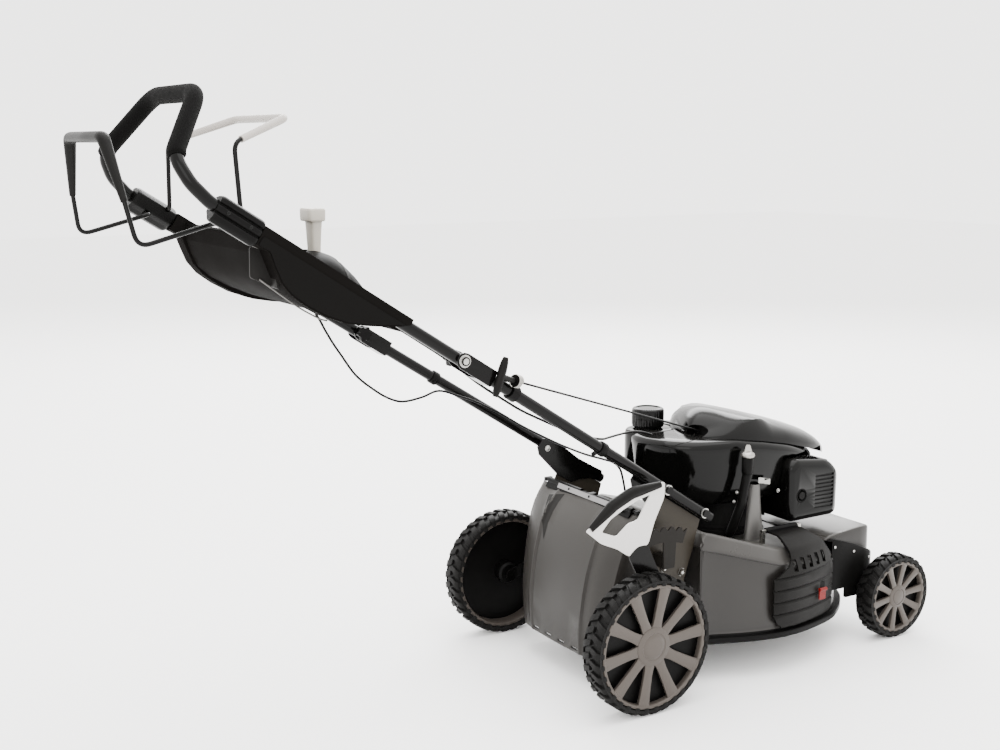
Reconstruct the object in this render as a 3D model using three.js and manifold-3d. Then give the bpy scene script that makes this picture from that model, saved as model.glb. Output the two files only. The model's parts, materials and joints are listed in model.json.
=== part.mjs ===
// Walk-behind rotary lawn mower with a petrol engine, drive bail, brake bail and folding handle.
// Millimetres. +Z is up, +Y is the way the mower cuts, +X is its right-hand side.
// While it is built, the origin is on the ground below the rear wheel centres; at the end the whole
// group is moved so that the origin is the middle of the base of its bounding box.
import * as THREE from 'three';
import { mergeVertices } from 'three/addons/utils/BufferGeometryUtils.js';
import Module from 'manifold-3d';

const wasm = await Module();
wasm.setup();

// ---------------------------------------------------------------- driving dimensions
const GAP = 0.4; // clearance between pieces that touch

const REAR_WHEEL = { y: 0, radius: 140, width: 55, outer: 295, rim: 126.2, bore: 8.6 };
const FRONT_WHEEL = { y: 732, radius: 95.4, width: 47, outer: 255, rim: 82.4, bore: 7.6 };
const WHEEL_SIDES = 36;
const SPOKES = 10;

const REAR_PIVOT = { y: 75, z: 165 }; // the rear axle swings about this line
const FRONT_PIVOT = { y: 657, z: 120 }; // the front axle swings about this line

const CRANK = { y: 405, radius: 12.5 }; // vertical crankshaft, on the centre plane
const BLADE = { length: 408, width: 54, low: 88.4, high: 92 };

const SKIRT_LOW = 80; // lowest edge of the deck
const LIP_HEIGHT = 12;
const DECK_WALL = 4;
const ENGINE_PAD = { radius: 105, z: 250 };
// Right half of the deck's lower edge, from the rear middle round to the front middle (x, y).
const DECK_EDGE = [
  [0, 172], [150, 172], [205, 172], [218, 186], [226, 215], [246, 262], [263, 315], [272, 375],
  [268, 436], [249, 520], [222, 570], [190, 612], [150, 650], [100, 676], [50, 690], [0, 694],
];
// Height of the deck's upper edge along the machine (y, z).
const DECK_TOP = [[172, 312], [360, 262], [440, 252], [540, 244], [620, 225], [700, 200]];

const TUBE = { radius: 11, bore: 9.4 }; // steel handle tube
const HANDLE_FOOT = { x: 191, y: 196, z: 359 }; // lower bolt of the right-hand tube
const HANDLE_SLOPE = { x: 0.0286, z: 0.635 }; // rise per millimetre towards the rear
const FOLD = { y: -385, z: 728, x: 207.6 };
const HANDLE_TILT = Math.atan(HANDLE_SLOPE.z);

const DRIVE_PIVOT = { y: -814, z: 981 };
const BRAKE_PIVOT = { y: -774, z: 987 };
const BAIL_ROD = 4;

const DOOR_HINGE = { y: 50, z: 372, rod: 3.5 };
const COVER_HINGE = { x: 174, z: 284, rod: 3 };

const ROPE_OUTLET = new THREE.Vector3(42, 310, 489.5);
const ROPE_GUIDE = new THREE.Vector3(219, -274, 681);
const ROPE_DIRECTION = ROPE_GUIDE.clone().sub(ROPE_OUTLET).normalize();

// ---------------------------------------------------------------- finishes
const finish = (color, roughness, metalness) => ({ color, roughness, metalness });
const DECK_GREY = finish(0x5a5652, 0.45, 0.1);
const PLATE_BROWN = finish(0x5f574b, 0.5, 0.1);
const BLACK_PLASTIC = finish(0x1d1c1b, 0.5, 0);
const GLOSS_BLACK = finish(0x161616, 0.25, 0);
const BLACK_STEEL = finish(0x171615, 0.35, 0.4);
const BARE_STEEL = finish(0xb9b7b2, 0.35, 0.9);
const CAST_ALUMINIUM = finish(0x8d8b88, 0.45, 0.8);
const TYRE_RUBBER = finish(0x1a1919, 0.85, 0);
const FOAM = finish(0x151514, 0.95, 0);
const HUB_GREY = finish(0x847a72, 0.4, 0.3);
const WHITE_GRIP = finish(0xd9d2ca, 0.5, 0);
const CREAM = finish(0xe4ddd0, 0.45, 0);
const RED_PLASTIC = finish(0xb01812, 0.4, 0);
const CABLE_BLACK = finish(0x121212, 0.6, 0);

// ---------------------------------------------------------------- solids
// A closed solid from a geometry whose faces may point either way.
function solid(geometry) {
  const bare = new THREE.BufferGeometry();
  bare.setAttribute('position', geometry.getAttribute('position'));
  if (geometry.index) bare.setIndex(geometry.index);
  const merged = mergeVertices(bare, 1e-4);
  const positions = merged.getAttribute('position');
  const corners = [];
  const source = merged.index.array;
  for (let i = 0; i < source.length; i += 3) {
    const [a, b, c] = [source[i], source[i + 1], source[i + 2]];
    if (a !== b && b !== c && c !== a) corners.push(a, b, c);
  }
  let volume = 0;
  const at = (i) => new THREE.Vector3().fromBufferAttribute(positions, i);
  for (let i = 0; i < corners.length; i += 3) {
    volume += at(corners[i]).dot(at(corners[i + 1]).cross(at(corners[i + 2])));
  }
  if (volume < 0) corners.reverse();
  const mesh = new wasm.Mesh({
    numProp: 3,
    vertProperties: new Float32Array(positions.array),
    triVerts: new Uint32Array(corners),
  });
  return new wasm.Manifold(mesh);
}

function geometryOf(body) {
  const mesh = body.getMesh();
  const stride = mesh.numProp;
  const positions = new Float32Array(mesh.numVert * 3);
  for (let i = 0; i < mesh.numVert; i++) {
    for (let k = 0; k < 3; k++) positions[3 * i + k] = mesh.vertProperties[stride * i + k];
  }
  const geometry = new THREE.BufferGeometry();
  geometry.setAttribute('position', new THREE.BufferAttribute(positions, 3));
  geometry.setIndex(new THREE.BufferAttribute(new Uint32Array(mesh.triVerts), 1));
  return geometry;
}

const join = (...bodies) => bodies.reduce((sum, body) => sum.add(body));
const cut = (body, ...tools) => tools.reduce((rest, tool) => rest.subtract(tool), body);
const mirrored = (body) => solid(geometryOf(body).scale(-1, 1, 1));
const moved = (body, x, y, z) => solid(geometryOf(body).translate(x, y, z));

function box(x0, x1, y0, y1, z0, z1) {
  const geometry = new THREE.BoxGeometry(x1 - x0, y1 - y0, z1 - z0);
  return solid(geometry.translate((x0 + x1) / 2, (y0 + y1) / 2, (z0 + z1) / 2));
}

const shapeOf = (points) => new THREE.Shape(points.map(([u, v]) => new THREE.Vector2(u, v)));

function flat(points, depth, holes = []) {
  const shape = shapeOf(points);
  holes.forEach((hole) => shape.holes.push(shapeOf(hole)));
  return new THREE.ExtrudeGeometry(shape, { depth, bevelEnabled: false });
}

// A plate drawn in (x, y) and filled between two heights.
const slab = (points, z0, z1) => solid(flat(points, z1 - z0).translate(0, 0, z0));

// A plate drawn in (y, z) and filled between two x values.
const YZ_PLANE = new THREE.Matrix4().makeBasis(
  new THREE.Vector3(0, 1, 0), new THREE.Vector3(0, 0, 1), new THREE.Vector3(1, 0, 0));
function plate(points, x0, x1, holes = []) {
  return solid(flat(points, x1 - x0, holes).applyMatrix4(YZ_PLANE).translate(x0, 0, 0));
}

// A straight round bar from one point to another.
function bar(from, to, radius, sides = 12) {
  const a = new THREE.Vector3(...from);
  const b = new THREE.Vector3(...to);
  const geometry = new THREE.CylinderGeometry(radius, radius, a.distanceTo(b), sides);
  const turn = new THREE.Quaternion().setFromUnitVectors(
    new THREE.Vector3(0, 1, 0), b.clone().sub(a).normalize());
  const middle = a.clone().add(b).multiplyScalar(0.5);
  return solid(geometry.applyQuaternion(turn).translate(middle.x, middle.y, middle.z));
}

const crossBar = (x0, x1, y, z, radius, sides) => bar([x0, y, z], [x1, y, z], radius, sides);

// A body of revolution: profile of (radius, height) about +Z at (x, y).
function turned(profile, x, y, sides = 24) {
  const points = profile.map(([r, h]) => new THREE.Vector2(r, h));
  const geometry = new THREE.LatheGeometry(points, sides).rotateX(Math.PI / 2);
  return solid(geometry.translate(x, y, 0));
}

// The same, with its heights measured along +X from the centre plane, about the line (y, z).
function wheelTurned(profile, y, z, sides) {
  const points = profile.map(([r, h]) => new THREE.Vector2(r, h));
  const geometry = new THREE.LatheGeometry(points, sides).rotateZ(-Math.PI / 2);
  return solid(geometry.translate(0, y, z));
}

// A closed surface through rings of equal count; each end is a flat polygon or closes at an apex.
function skin(rings, firstApex, lastApex) {
  const count = rings[0].length;
  const points = rings.flat();
  const corners = [];
  for (let r = 0; r + 1 < rings.length; r++) {
    for (let i = 0; i < count; i++) {
      const [a, b] = [r * count + i, r * count + ((i + 1) % count)];
      corners.push(a, b, b + count, a, b + count, a + count);
    }
  }
  const close = (start, apex, flip) => {
    const centre = points.length;
    points.push(apex);
    for (let i = 0; i < count; i++) {
      const [a, b] = [start + i, start + ((i + 1) % count)];
      corners.push(...(flip ? [centre, b, a] : [centre, a, b]));
    }
  };
  close(0, firstApex, true);
  close((rings.length - 1) * count, lastApex, false);
  const geometry = new THREE.BufferGeometry();
  geometry.setAttribute('position', new THREE.Float32BufferAttribute(points.flat(), 3));
  geometry.setIndex(corners);
  return solid(geometry);
}

const middleOf = (ring) => [0, 1, 2].map((k) => ring.reduce((sum, p) => sum + p[k], 0) / ring.length);

// ---------------------------------------------------------------- tubes along bent paths
// A path that is sampled only at its own points, so straight runs cost one step.
class BentPath extends THREE.Curve {
  constructor(points) {
    super();
    this.points = points.map((p) => new THREE.Vector3(...p));
  }

  get steps() {
    return this.points.length - 1;
  }

  getSpacedPoints() {
    return this.points;
  }

  getTangentAt(u, target = new THREE.Vector3()) {
    const i = Math.round(u * this.steps);
    const before = this.points[Math.max(i - 1, 0)];
    const after = this.points[Math.min(i + 1, this.steps)];
    return target.copy(after).sub(before).normalize();
  }
}

// Corner points with rounded corners: each bend gets an arc of the given radius.
function rounded(corners, radius, steps = 4) {
  const at = corners.map((p) => new THREE.Vector3(...p));
  const points = [corners[0]];
  for (let i = 1; i + 1 < at.length; i++) {
    const back = at[i - 1].clone().sub(at[i]);
    const on = at[i + 1].clone().sub(at[i]);
    const half = (Math.PI - back.angleTo(on)) / 2;
    const reach = Math.min(radius * Math.tan(half), 0.48 * back.length(), 0.48 * on.length());
    const start = at[i].clone().addScaledVector(back.normalize(), reach);
    const end = at[i].clone().addScaledVector(on.normalize(), reach);
    const curve = new THREE.QuadraticBezierCurve3(start, at[i], end);
    curve.getPoints(steps).forEach((p) => points.push(p.toArray()));
  }
  points.push(corners.at(-1));
  return points;
}

const circle = (radius, sides) => Array.from({ length: sides }, (_, i) => {
  const turn = (2 * Math.PI * i) / sides;
  return [radius * Math.cos(turn), radius * Math.sin(turn)];
});

function tube(points, radius, sides = 10, bore = 0, boreSides = 8) {
  const path = new BentPath(points);
  const shape = shapeOf(circle(radius, sides));
  if (bore) shape.holes.push(shapeOf(circle(bore, boreSides)));
  return solid(new THREE.ExtrudeGeometry(shape, { steps: path.steps, extrudePath: path }));
}

// ---------------------------------------------------------------- group of named meshes
const mower = new THREE.Group();

function part(name, body, look) {
  const mesh = new THREE.Mesh(geometryOf(body), new THREE.MeshStandardMaterial(look));
  mesh.geometry.computeVertexNormals();
  mesh.name = name;
  mower.add(mesh);
}

// ---------------------------------------------------------------- deck
const heightAt = (table, y) => {
  const next = table.findIndex(([at]) => at >= y);
  if (next === 0) return table[0][1];
  if (next < 0) return table.at(-1)[1];
  const [[y0, z0], [y1, z1]] = [table[next - 1], table[next]];
  return z0 + ((y - y0) / (y1 - y0)) * (z1 - z0);
};

const deckRing = [
  ...DECK_EDGE,
  ...DECK_EDGE.slice(1, -1).reverse().map(([x, y]) => [-x, y]),
];

// The deck's plan outline moved inwards by a distance.
function insetRing(distance) {
  const count = deckRing.length;
  return deckRing.map((point, i) => {
    const before = new THREE.Vector2(...deckRing[(i + count - 1) % count]);
    const here = new THREE.Vector2(...point);
    const after = new THREE.Vector2(...deckRing[(i + 1) % count]);
    const way = here.clone().sub(before).normalize().add(after.sub(here).normalize()).normalize();
    return [here.x - way.y * distance, here.y + way.x * distance];
  });
}

const ringAt = (distance, height) => insetRing(distance).map(([x, y]) => [x, y, height(x, y)]);
const padRing = (radius, z) => insetRing(0).map(([x, y]) => {
  const way = Math.atan2(y - CRANK.y, x);
  return [radius * Math.cos(way), CRANK.y + radius * Math.sin(way), z];
});

const WALL_INSET = 15;
const SHOULDER_INSET = 22;
const EDGE_INSET = 44;
const BEVEL = 30;

// The deck's outer faces, grown by a distance, as rings from the skirt's lower edge to the pad.
function deckOuter(grow) {
  const top = (x, y) => heightAt(DECK_TOP, y) + grow;
  return [
    ringAt(-grow, () => SKIRT_LOW - grow),
    ringAt(-grow, () => SKIRT_LOW + LIP_HEIGHT + grow),
    ringAt(WALL_INSET - grow, () => SKIRT_LOW + LIP_HEIGHT + 3 + grow),
    ringAt(SHOULDER_INSET - grow, (x, y) => top(x, y) - BEVEL),
    ringAt(EDGE_INSET - grow, top),
    padRing(ENGINE_PAD.radius, ENGINE_PAD.z + grow),
  ];
}

const grownDeck = (grow) => skin(
  deckOuter(grow), [0, CRANK.y, SKIRT_LOW - grow], [0, CRANK.y, ENGINE_PAD.z + grow]);

function deckShell() {
  const top = (x, y) => heightAt(DECK_TOP, y) - DECK_WALL;
  const inner = [
    padRing(ENGINE_PAD.radius - DECK_WALL, ENGINE_PAD.z - DECK_WALL),
    ringAt(EDGE_INSET + DECK_WALL, top),
    ringAt(SHOULDER_INSET + DECK_WALL, (x, y) => top(x, y) - BEVEL),
    ringAt(WALL_INSET + DECK_WALL, () => SKIRT_LOW),
  ];
  const shell = skin(
    [...inner, ...deckOuter(0)],
    [0, CRANK.y, ENGINE_PAD.z - DECK_WALL], [0, CRANK.y, ENGINE_PAD.z]);
  const crankHole = turned([[0, 200], [20, 200], [20, 300], [0, 300]], 0, CRANK.y, 16);
  const rearOutlet = box(-120, 120, 150, 228, 185, 272);
  const sideOutlet = box(200, 300, 362, 512, 104, 214);
  const open = cut(shell, crankHole, rearOutlet, sideOutlet);
  const hinge = bar([COVER_HINGE.x, 380, COVER_HINGE.z], [COVER_HINGE.x, 492, COVER_HINGE.z],
    COVER_HINGE.rod, 10);
  const posts = [380, 484].map((y) => box(169, 178, y, y + 8, 246, COVER_HINGE.z + 2));
  return join(open, hinge, ...posts);
}

// Grey cover over the front of the deck, with its raised wedge and the front axle's brackets.
function frontCover() {
  const half = [[0, 560], [188, 560], [197, 572], [198, 640], [196, 692], [186, 706], [60, 714]];
  const plan = [...half, [0, 716], ...half.slice(1).reverse().map(([x, y]) => [-x, y])];
  const wedge = [
    [556, 236], [575, 249], [683, 256], [690, 205], [700, 197], [717, 172], [717, 120], [556, 120],
  ];
  const block = plate(wedge, -205, 205).intersect(slab(plan, 120, 262));
  const hollow = moved(block, 0, -4, -4).intersect(box(-192, 192, 560, 706, 118, 262));
  const pinRoom = crossBar(183, 206, FRONT_PIVOT.y, FRONT_PIVOT.z, 7, 12);
  const cover = cut(block, grownDeck(GAP), hollow.intersect(box(-192, 192, 540, 706, 100, 180)),
    pinRoom, mirrored(pinRoom));
  const bracket = [[618, 190], [645, 196], [692, 160], [692, 112], [660, 96], [618, 96]];
  const pinHole = circle(6.6, 12).map(([u, v]) => [FRONT_PIVOT.y + u, FRONT_PIVOT.z + v]);
  const right = plate(bracket, 191, 196, [pinHole]);
  return join(cover, right, mirrored(right));
}

const PLATE_INNER = 171;
const PLATE_OUTER = 175;

// Brown plate on each side of the rear housing. It carries the axle's bearing.
function sidePlate() {
  const outline = [
    [62, 110], [167, 110], [167, 215], [191, 285], [196, 306], [206, 338], [112, 398], [84, 380],
    [62, 330],
  ];
  const bearing = circle(10.7, 16).map(([u, v]) => [REAR_PIVOT.y + u, REAR_PIVOT.z + v]);
  const bolts = [[113, 248], [160, 232]].map(([y, z]) =>
    crossBar(PLATE_OUTER - 1, PLATE_OUTER + 5, y, z, 8, 10));
  const base = plate(outline, PLATE_INNER, PLATE_OUTER, [bearing]);
  return cut(join(base, ...bolts), grownDeck(GAP));
}

// Sloping cover between the side plates, with the rod that the rear door hangs on.
function chuteCover() {
  const sheet = plate([[62, 368], [62, 372], [178, 313], [178, 309]], -170.4, 170.4);
  const rod = crossBar(-168, 168, DOOR_HINGE.y, DOOR_HINGE.z, DOOR_HINGE.rod, 12);
  const ear = [[46, 368], [46, 376], [64, 376], [64, 366]];
  const ears = [[-168, -160], [-6, 6], [160, 168]].map(([a, b]) => plate(ear, a, b));
  return cut(join(sheet, rod, ...ears), grownDeck(GAP));
}

// Rear door: a bowed panel with turned-in sides. Stations: height, half width, centre y, corner y.
const DOOR_STATIONS = [
  [62, 158, -38, -22], [150, 164, -38, -22], [235, 170, -26, -10], [300, 176, -8, 6],
  [345, 178, 20, 28], [366, 178, 42, 44],
];
function rearDoor() {
  const wall = 4;
  const rings = DOOR_STATIONS.map(([z, half, centre, corner]) => {
    const sideEnd = 52;
    const right = [[half, sideEnd], [half, corner + 14], [half * 0.88, corner], [half * 0.6, centre + 4]];
    const outer = [...right, [0, centre], ...right.map(([x, y]) => [-x, y]).reverse()];
    const inward = ([x, y]) => [x - Math.sign(x) * wall, Math.min(y + wall, sideEnd)];
    const inner = outer.map(inward).reverse();
    return [...outer, ...inner].map(([x, y]) => [x, y, z]);
  });
  const count = rings[0].length;
  const panel = ribbonSkin(rings, count);
  const barrels = [[-150, -30], [30, 150]].map(([a, b]) =>
    crossBar(a, b, DOOR_HINGE.y, DOOR_HINGE.z, 7, 12));
  const leaves = [[-150, -30], [30, 150]].map(([a, b]) =>
    plate([[39, 360], [50, 378], [54, 366], [46, 360]], a, b));
  const bore = crossBar(-200, 200, DOOR_HINGE.y, DOOR_HINGE.z, 4.2, 12);
  const clear = [[-171, -157], [-9, 9], [157, 171]].map(([a, b]) => box(a, b, 42, 70, 362, 382));
  const sideRoom = box(-200, 200, 54, 80, 40, 380);
  return cut(join(panel, ...barrels, ...leaves), bore, sideRoom, ...clear);
}

// A strip with thickness: every ring is an outer run followed by the matching inner run, so each
// end is closed by quads across the thickness.
function ribbonSkin(rings, count) {
  const half = count / 2;
  const points = rings.flat();
  const corners = [];
  for (let r = 0; r + 1 < rings.length; r++) {
    for (let i = 0; i < count; i++) {
      const [a, b] = [r * count + i, r * count + ((i + 1) % count)];
      corners.push(a, b, b + count, a, b + count, a + count);
    }
  }
  const end = (start, flip) => {
    for (let i = 0; i + 1 < half; i++) {
      const [a, b, c, d] = [start + i, start + i + 1, start + count - 2 - i, start + count - 1 - i];
      corners.push(...(flip ? [a, c, b, a, d, c] : [a, b, c, a, c, d]));
    }
  };
  end(0, true);
  end((rings.length - 1) * count, false);
  const geometry = new THREE.BufferGeometry();
  geometry.setAttribute('position', new THREE.Float32BufferAttribute(points.flat(), 3));
  geometry.setIndex(corners);
  return solid(geometry);
}

// Side discharge cover: stations along y, each a thin open profile in (x, z).
const COVER_STATIONS = [[348, -2], [400, 0], [450, -7], [492, -18], [530, -32]];
function sideCover() {
  const wall = 3.6;
  const outerX = 272;
  const rings = COVER_STATIONS.map(([y, shift]) => {
    const x = outerX + shift;
    const outer = [[178, 283], [x - 58, 281], [x - 28, 264], [x - 9, 230], [x - 3, 160], [x - 2, 99]];
    const inner = outer.map(([u, v], i) => [u - (i ? wall : 0), v - (i < 4 ? wall : 0)]).reverse();
    return [...outer, ...inner].map(([u, v]) => [u, y, v]);
  });
  const panel = ribbonSkin(rings, rings[0].length);
  const barrel = bar([COVER_HINGE.x, 392, COVER_HINGE.z], [COVER_HINGE.x, 480, COVER_HINGE.z], 6, 12);
  const leaf = box(176, 186, 392, 480, 279.4, 283);
  const bore = bar([COVER_HINGE.x, 300, COVER_HINGE.z], [COVER_HINGE.x, 600, COVER_HINGE.z], 3.6, 12);
  const postRoom = [[340, 391.6], [480.4, 540]].map(([a, b]) => box(160, 190, a, b, 240, 300));
  const rearCorner = [[330, 300], [400, 300], [392, 268], [388, 238], [340, 206], [330, 206]];
  const frontCorner = [[474, 300], [545, 300], [545, 213], [530, 213], [506, 262], [480, 282]];
  const corners = [rearCorner, frontCorner].map((outline) => plate(outline, 150, 300));
  return cut(join(panel, barrel, leaf), bore, ...postRoom, ...corners);
}

function sideLatch() {
  const hook = [[472, 138], [472, 166], [490, 166], [490, 138]];
  return join(plate(hook, 258, 262), bar([262.4, 470, 162], [262.4, 492, 162], 4.2, 10));
}

// ---------------------------------------------------------------- wheels and axles
function wheel(name, spec, side) {
  const z = spec.radius;
  const inner = spec.outer - spec.width;
  const face = spec.outer;
  const seat = spec.rim + GAP;
  const tread = [
    [seat, inner + 4], [seat + 4, inner], [z - 5, inner], [z, inner + 8], [z, face - 8],
    [z - 5, face], [seat + 3, face], [seat, face - 3], [seat, inner + 4],
  ];
  const dish = [
    [0, face - 6], [spec.bore, face - 6], [spec.bore, inner], [22, inner], [24, face - 16],
    [spec.rim - 13, face - 16], [spec.rim - 5, inner + 5], [spec.rim, inner + 5],
    [spec.rim, face - 3], [spec.rim - 8, face - 3], [spec.rim - 8, face - 12], [24, face - 12],
    [23, face - 2], [0, face - 1],
  ];
  const spokes = Array.from({ length: SPOKES }, (_, i) => {
    const turn = (2 * Math.PI * i) / SPOKES;
    const [c, s] = [Math.cos(turn), Math.sin(turn)];
    const wedge = [[18, -5], [spec.rim - 6, -9], [spec.rim - 6, 9], [18, 5]];
    const outline = wedge.map(([r, t]) => [spec.y + r * c - t * s, z + r * s + t * c]);
    return plate(outline, face - 13, face - 4);
  });
  const tyre = wheelTurned(tread, spec.y, z, WHEEL_SIDES);
  const rim = join(wheelTurned(dish, spec.y, z, WHEEL_SIDES), ...spokes);
  part(`${name}_tyre`, side > 0 ? tyre : mirrored(tyre), TYRE_RUBBER);
  part(`${name}_rim`, side > 0 ? rim : mirrored(rim), HUB_GREY);
}

// A flat arm with round ends between two points in (y, z).
function arm(from, to, half, x0, x1) {
  const way = Math.atan2(to.z - from.z, to.y - from.y);
  const end = (centre, start) => [0, 1, 2, 3, 4].map((i) => {
    const turn = start + (i * Math.PI) / 4;
    return [centre.y + half * Math.cos(turn), centre.z + half * Math.sin(turn)];
  });
  return plate([...end(to, way - Math.PI / 2), ...end(from, way + Math.PI / 2)], x0, x1);
}

const REAR_HUB = { y: REAR_WHEEL.y, z: REAR_WHEEL.radius };
const FRONT_HUB = { y: FRONT_WHEEL.y, z: FRONT_WHEEL.radius };

function rearAxle() {
  const yoke = crossBar(-234, 234, REAR_PIVOT.y, REAR_PIVOT.z, 10, 16);
  const right = arm(REAR_PIVOT, REAR_HUB, 14, 228, 234);
  const spindle = crossBar(230, 288, REAR_HUB.y, REAR_HUB.z, 8, 16);
  return join(yoke, right, spindle, mirrored(right), mirrored(spindle));
}

function frontAxle() {
  const axle = crossBar(-248, 248, FRONT_HUB.y, FRONT_HUB.z, 7, 16);
  const right = arm(FRONT_PIVOT, FRONT_HUB, 11, 201, 206);
  const pin = crossBar(186, 203, FRONT_PIVOT.y, FRONT_PIVOT.z, 6, 12);
  return join(axle, right, pin, mirrored(right), mirrored(pin));
}

const LEVER_X = [234.6, 237.6];

// Height lever: a plate with a hand opening above a shank that turns about the rear pivot.
function heightLever() {
  const outline = [
    [61, 452], [-19, 446], [-62, 428], [-120, 384], [-128, 379], [-92, 349], [-53, 332], [-24, 312],
    [50, 168], [62, 146], [90, 146], [100, 165], [90, 185], [22, 326], [37, 375], [60, 420],
  ];
  const opening = [[-92, 372], [-56, 358], [-29, 379], [-4, 384], [12, 412], [26, 431], [-4, 424],
    [-40, 410], [-70, 395]];
  return plate(outline, ...LEVER_X, [opening]);
}

function leverGrip(lever) {
  const route = rounded([
    [236, -117, 381], [236, -64, 421], [236, -20, 440], [236, 50, 447]], 60, 3);
  const slot = solid(geometryOf(lever).translate(-236, 0, 0).scale(1.4, 1, 1).translate(236, 0, 0));
  return cut(tube(route, 12, 10), slot);
}

function leverQuadrant() {
  const arc = (radius, from, to, count) => Array.from({ length: count + 1 }, (_, i) => {
    const turn = THREE.MathUtils.degToRad(from + ((to - from) * i) / count);
    return [REAR_PIVOT.y + radius * Math.cos(turn), REAR_PIVOT.z + radius * Math.sin(turn)];
  });
  const notched = arc(185, 70, 114, 20).map(([y, z], i) => {
    const pull = i % 3 === 1 ? 0.955 : 1;
    return [REAR_PIVOT.y + (y - REAR_PIVOT.y) * pull, REAR_PIVOT.z + (z - REAR_PIVOT.z) * pull];
  });
  const sector = plate([...notched, ...arc(154, 114, 70, 6)], 212, 216);
  const leg = plate([[80, 262], [108, 262], [112, 330], [78, 330]], 212, 216);
  const foot = box(PLATE_OUTER + GAP, 214, 82, 106, 262, 286);
  return join(sector, leg, foot);
}

// ---------------------------------------------------------------- handle
const handleX = (run) => HANDLE_FOOT.x + HANDLE_SLOPE.x * run;
const tubePoint = (run) => [
  handleX(run), HANDLE_FOOT.y - run, HANDLE_FOOT.z + HANDLE_SLOPE.z * run];

// A point in (y, z) given by its distance up the handle from the fold and its height above it.
const onHandle = (along, up) => [
  FOLD.y - along * Math.cos(HANDLE_TILT) + up * Math.sin(HANDLE_TILT),
  FOLD.z + along * Math.sin(HANDLE_TILT) + up * Math.cos(HANDLE_TILT),
];

const LOWER_BOLTS = [0, 100];
const LOWER_END_RUN = 552;

function lowerTube() {
  const body = tube([tubePoint(-22), tubePoint(LOWER_END_RUN)], TUBE.radius, 12, TUBE.bore, 10);
  const bores = LOWER_BOLTS.map((run) => crossBar(170, 215, ...tubePoint(run).slice(1), 4.6, 10));
  return cut(body, ...bores);
}

function handleBracket() {
  const outline = [
    [28, 446], [42, 463], [60, 461], [92, 443], [138, 407], [178, 384], [204, 370], [206, 352],
    [196, 346], [173, 356], [143, 358], [120, 354], [82, 376], [32, 428],
  ];
  const base = plate(outline, 167, PLATE_INNER - GAP);
  const studs = LOWER_BOLTS.flatMap((run) => {
    const [x, y, z] = tubePoint(run);
    const headAt = x + TUBE.radius + 1;
    return [crossBar(168, headAt + 2, y, z, 3.8, 8), crossBar(headAt, headAt + 6, y, z, 8.5, 10)];
  });
  return join(base, ...studs);
}

function foldClevis() {
  const round = Array.from({ length: 7 }, (_, i) => {
    const turn = -Math.PI / 2 + (i * Math.PI) / 6;
    return onHandle(15.5 * Math.cos(turn), 15.5 * Math.sin(turn));
  });
  const cheek = [onHandle(-72, -15.5), ...round, onHandle(-72, 15.5)];
  const web = [onHandle(-72, -15.5), onHandle(-38, -15.5), onHandle(-38, -12), onHandle(-72, -12)];
  return join(
    plate(cheek, 220.6, 223.8), plate(cheek, 190.6, 193.8), plate(web, 192, 222),
    crossBar(186, 229, FOLD.y, FOLD.z, 3.9, 12),
    crossBar(223, 229, FOLD.y, FOLD.z, 8.5, 12),
    crossBar(184, 191, FOLD.y, FOLD.z, 8.5, 12));
}

const mirrorPath = (half) => [...half, ...half.map(([x, y, z]) => [-x, y, z]).reverse()];

const UPPER_START = [...[207.3], ...onHandle(-13, 0)];
const HANDLE_PATH = rounded(mirrorPath([
  UPPER_START, [220.8, -839, 1016.2], [214, -867, 1046], [196, -886, 1088], [112, -816, 1188]]), 62, 5);
const DRIVE_PATH = rounded(mirrorPath([
  [203, DRIVE_PIVOT.y, DRIVE_PIVOT.z], [166, DRIVE_PIVOT.y, DRIVE_PIVOT.z], [172, -941, 947],
  [154, -954, 1020], [102, -967, 1117]]), 20, 3);
const BRAKE_PATH = rounded(mirrorPath([
  [203, BRAKE_PIVOT.y, BRAKE_PIVOT.z], [181, BRAKE_PIVOT.y, BRAKE_PIVOT.z], [167, -777, 1108],
  [116, -666, 1149]]), 24, 3);

function upperTube() {
  const bore = crossBar(180, 235, FOLD.y, FOLD.z, 4.6, 12);
  return cut(tube(HANDLE_PATH, TUBE.radius, 10, TUBE.bore, 8), bore, mirrored(bore));
}

// A sleeve over the stretch of a path where a test holds.
const sleeve = (path, test, radius, bore, sides) =>
  tube(path.filter(test), radius, sides, bore, sides);

const BLOCK = { x0: 191, x1: 236, from: 446, to: 529, low: -27, high: 20 };
function bailBlock() {
  const outline = [
    onHandle(BLOCK.from, BLOCK.low), onHandle(BLOCK.to, BLOCK.low),
    onHandle(BLOCK.to, BLOCK.high), onHandle(BLOCK.from, BLOCK.high),
  ];
  const start = onHandle(300, 0);
  const throughTube = tube([[handleX(834), ...start], ...HANDLE_PATH.slice(1, 8)], 11.9, 12);
  const drive = crossBar(150, 205, DRIVE_PIVOT.y, DRIVE_PIVOT.z, 4.8, 10);
  const brake = crossBar(150, 205, BRAKE_PIVOT.y, BRAKE_PIVOT.z, 4.8, 10);
  return cut(plate(outline, BLOCK.x0, BLOCK.x1), throughTube, drive, brake);
}

// Side outline of the console's cheeks, which wrap round the handle tubes (y, z).
const CHEEK_END = 444.4;
const CHEEK = [
  onHandle(CHEEK_END, 14), onHandle(CHEEK_END, -20), [-750, 938], [-742, 915], [-730, 886],
  [-712, 864], [-685, 844], [-651, 825], [-615, 812], [-578, 805], [-544, 801], [-512, 799],
  [-491, 800], [-487, 808], onHandle(128.5, 14),
];
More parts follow.
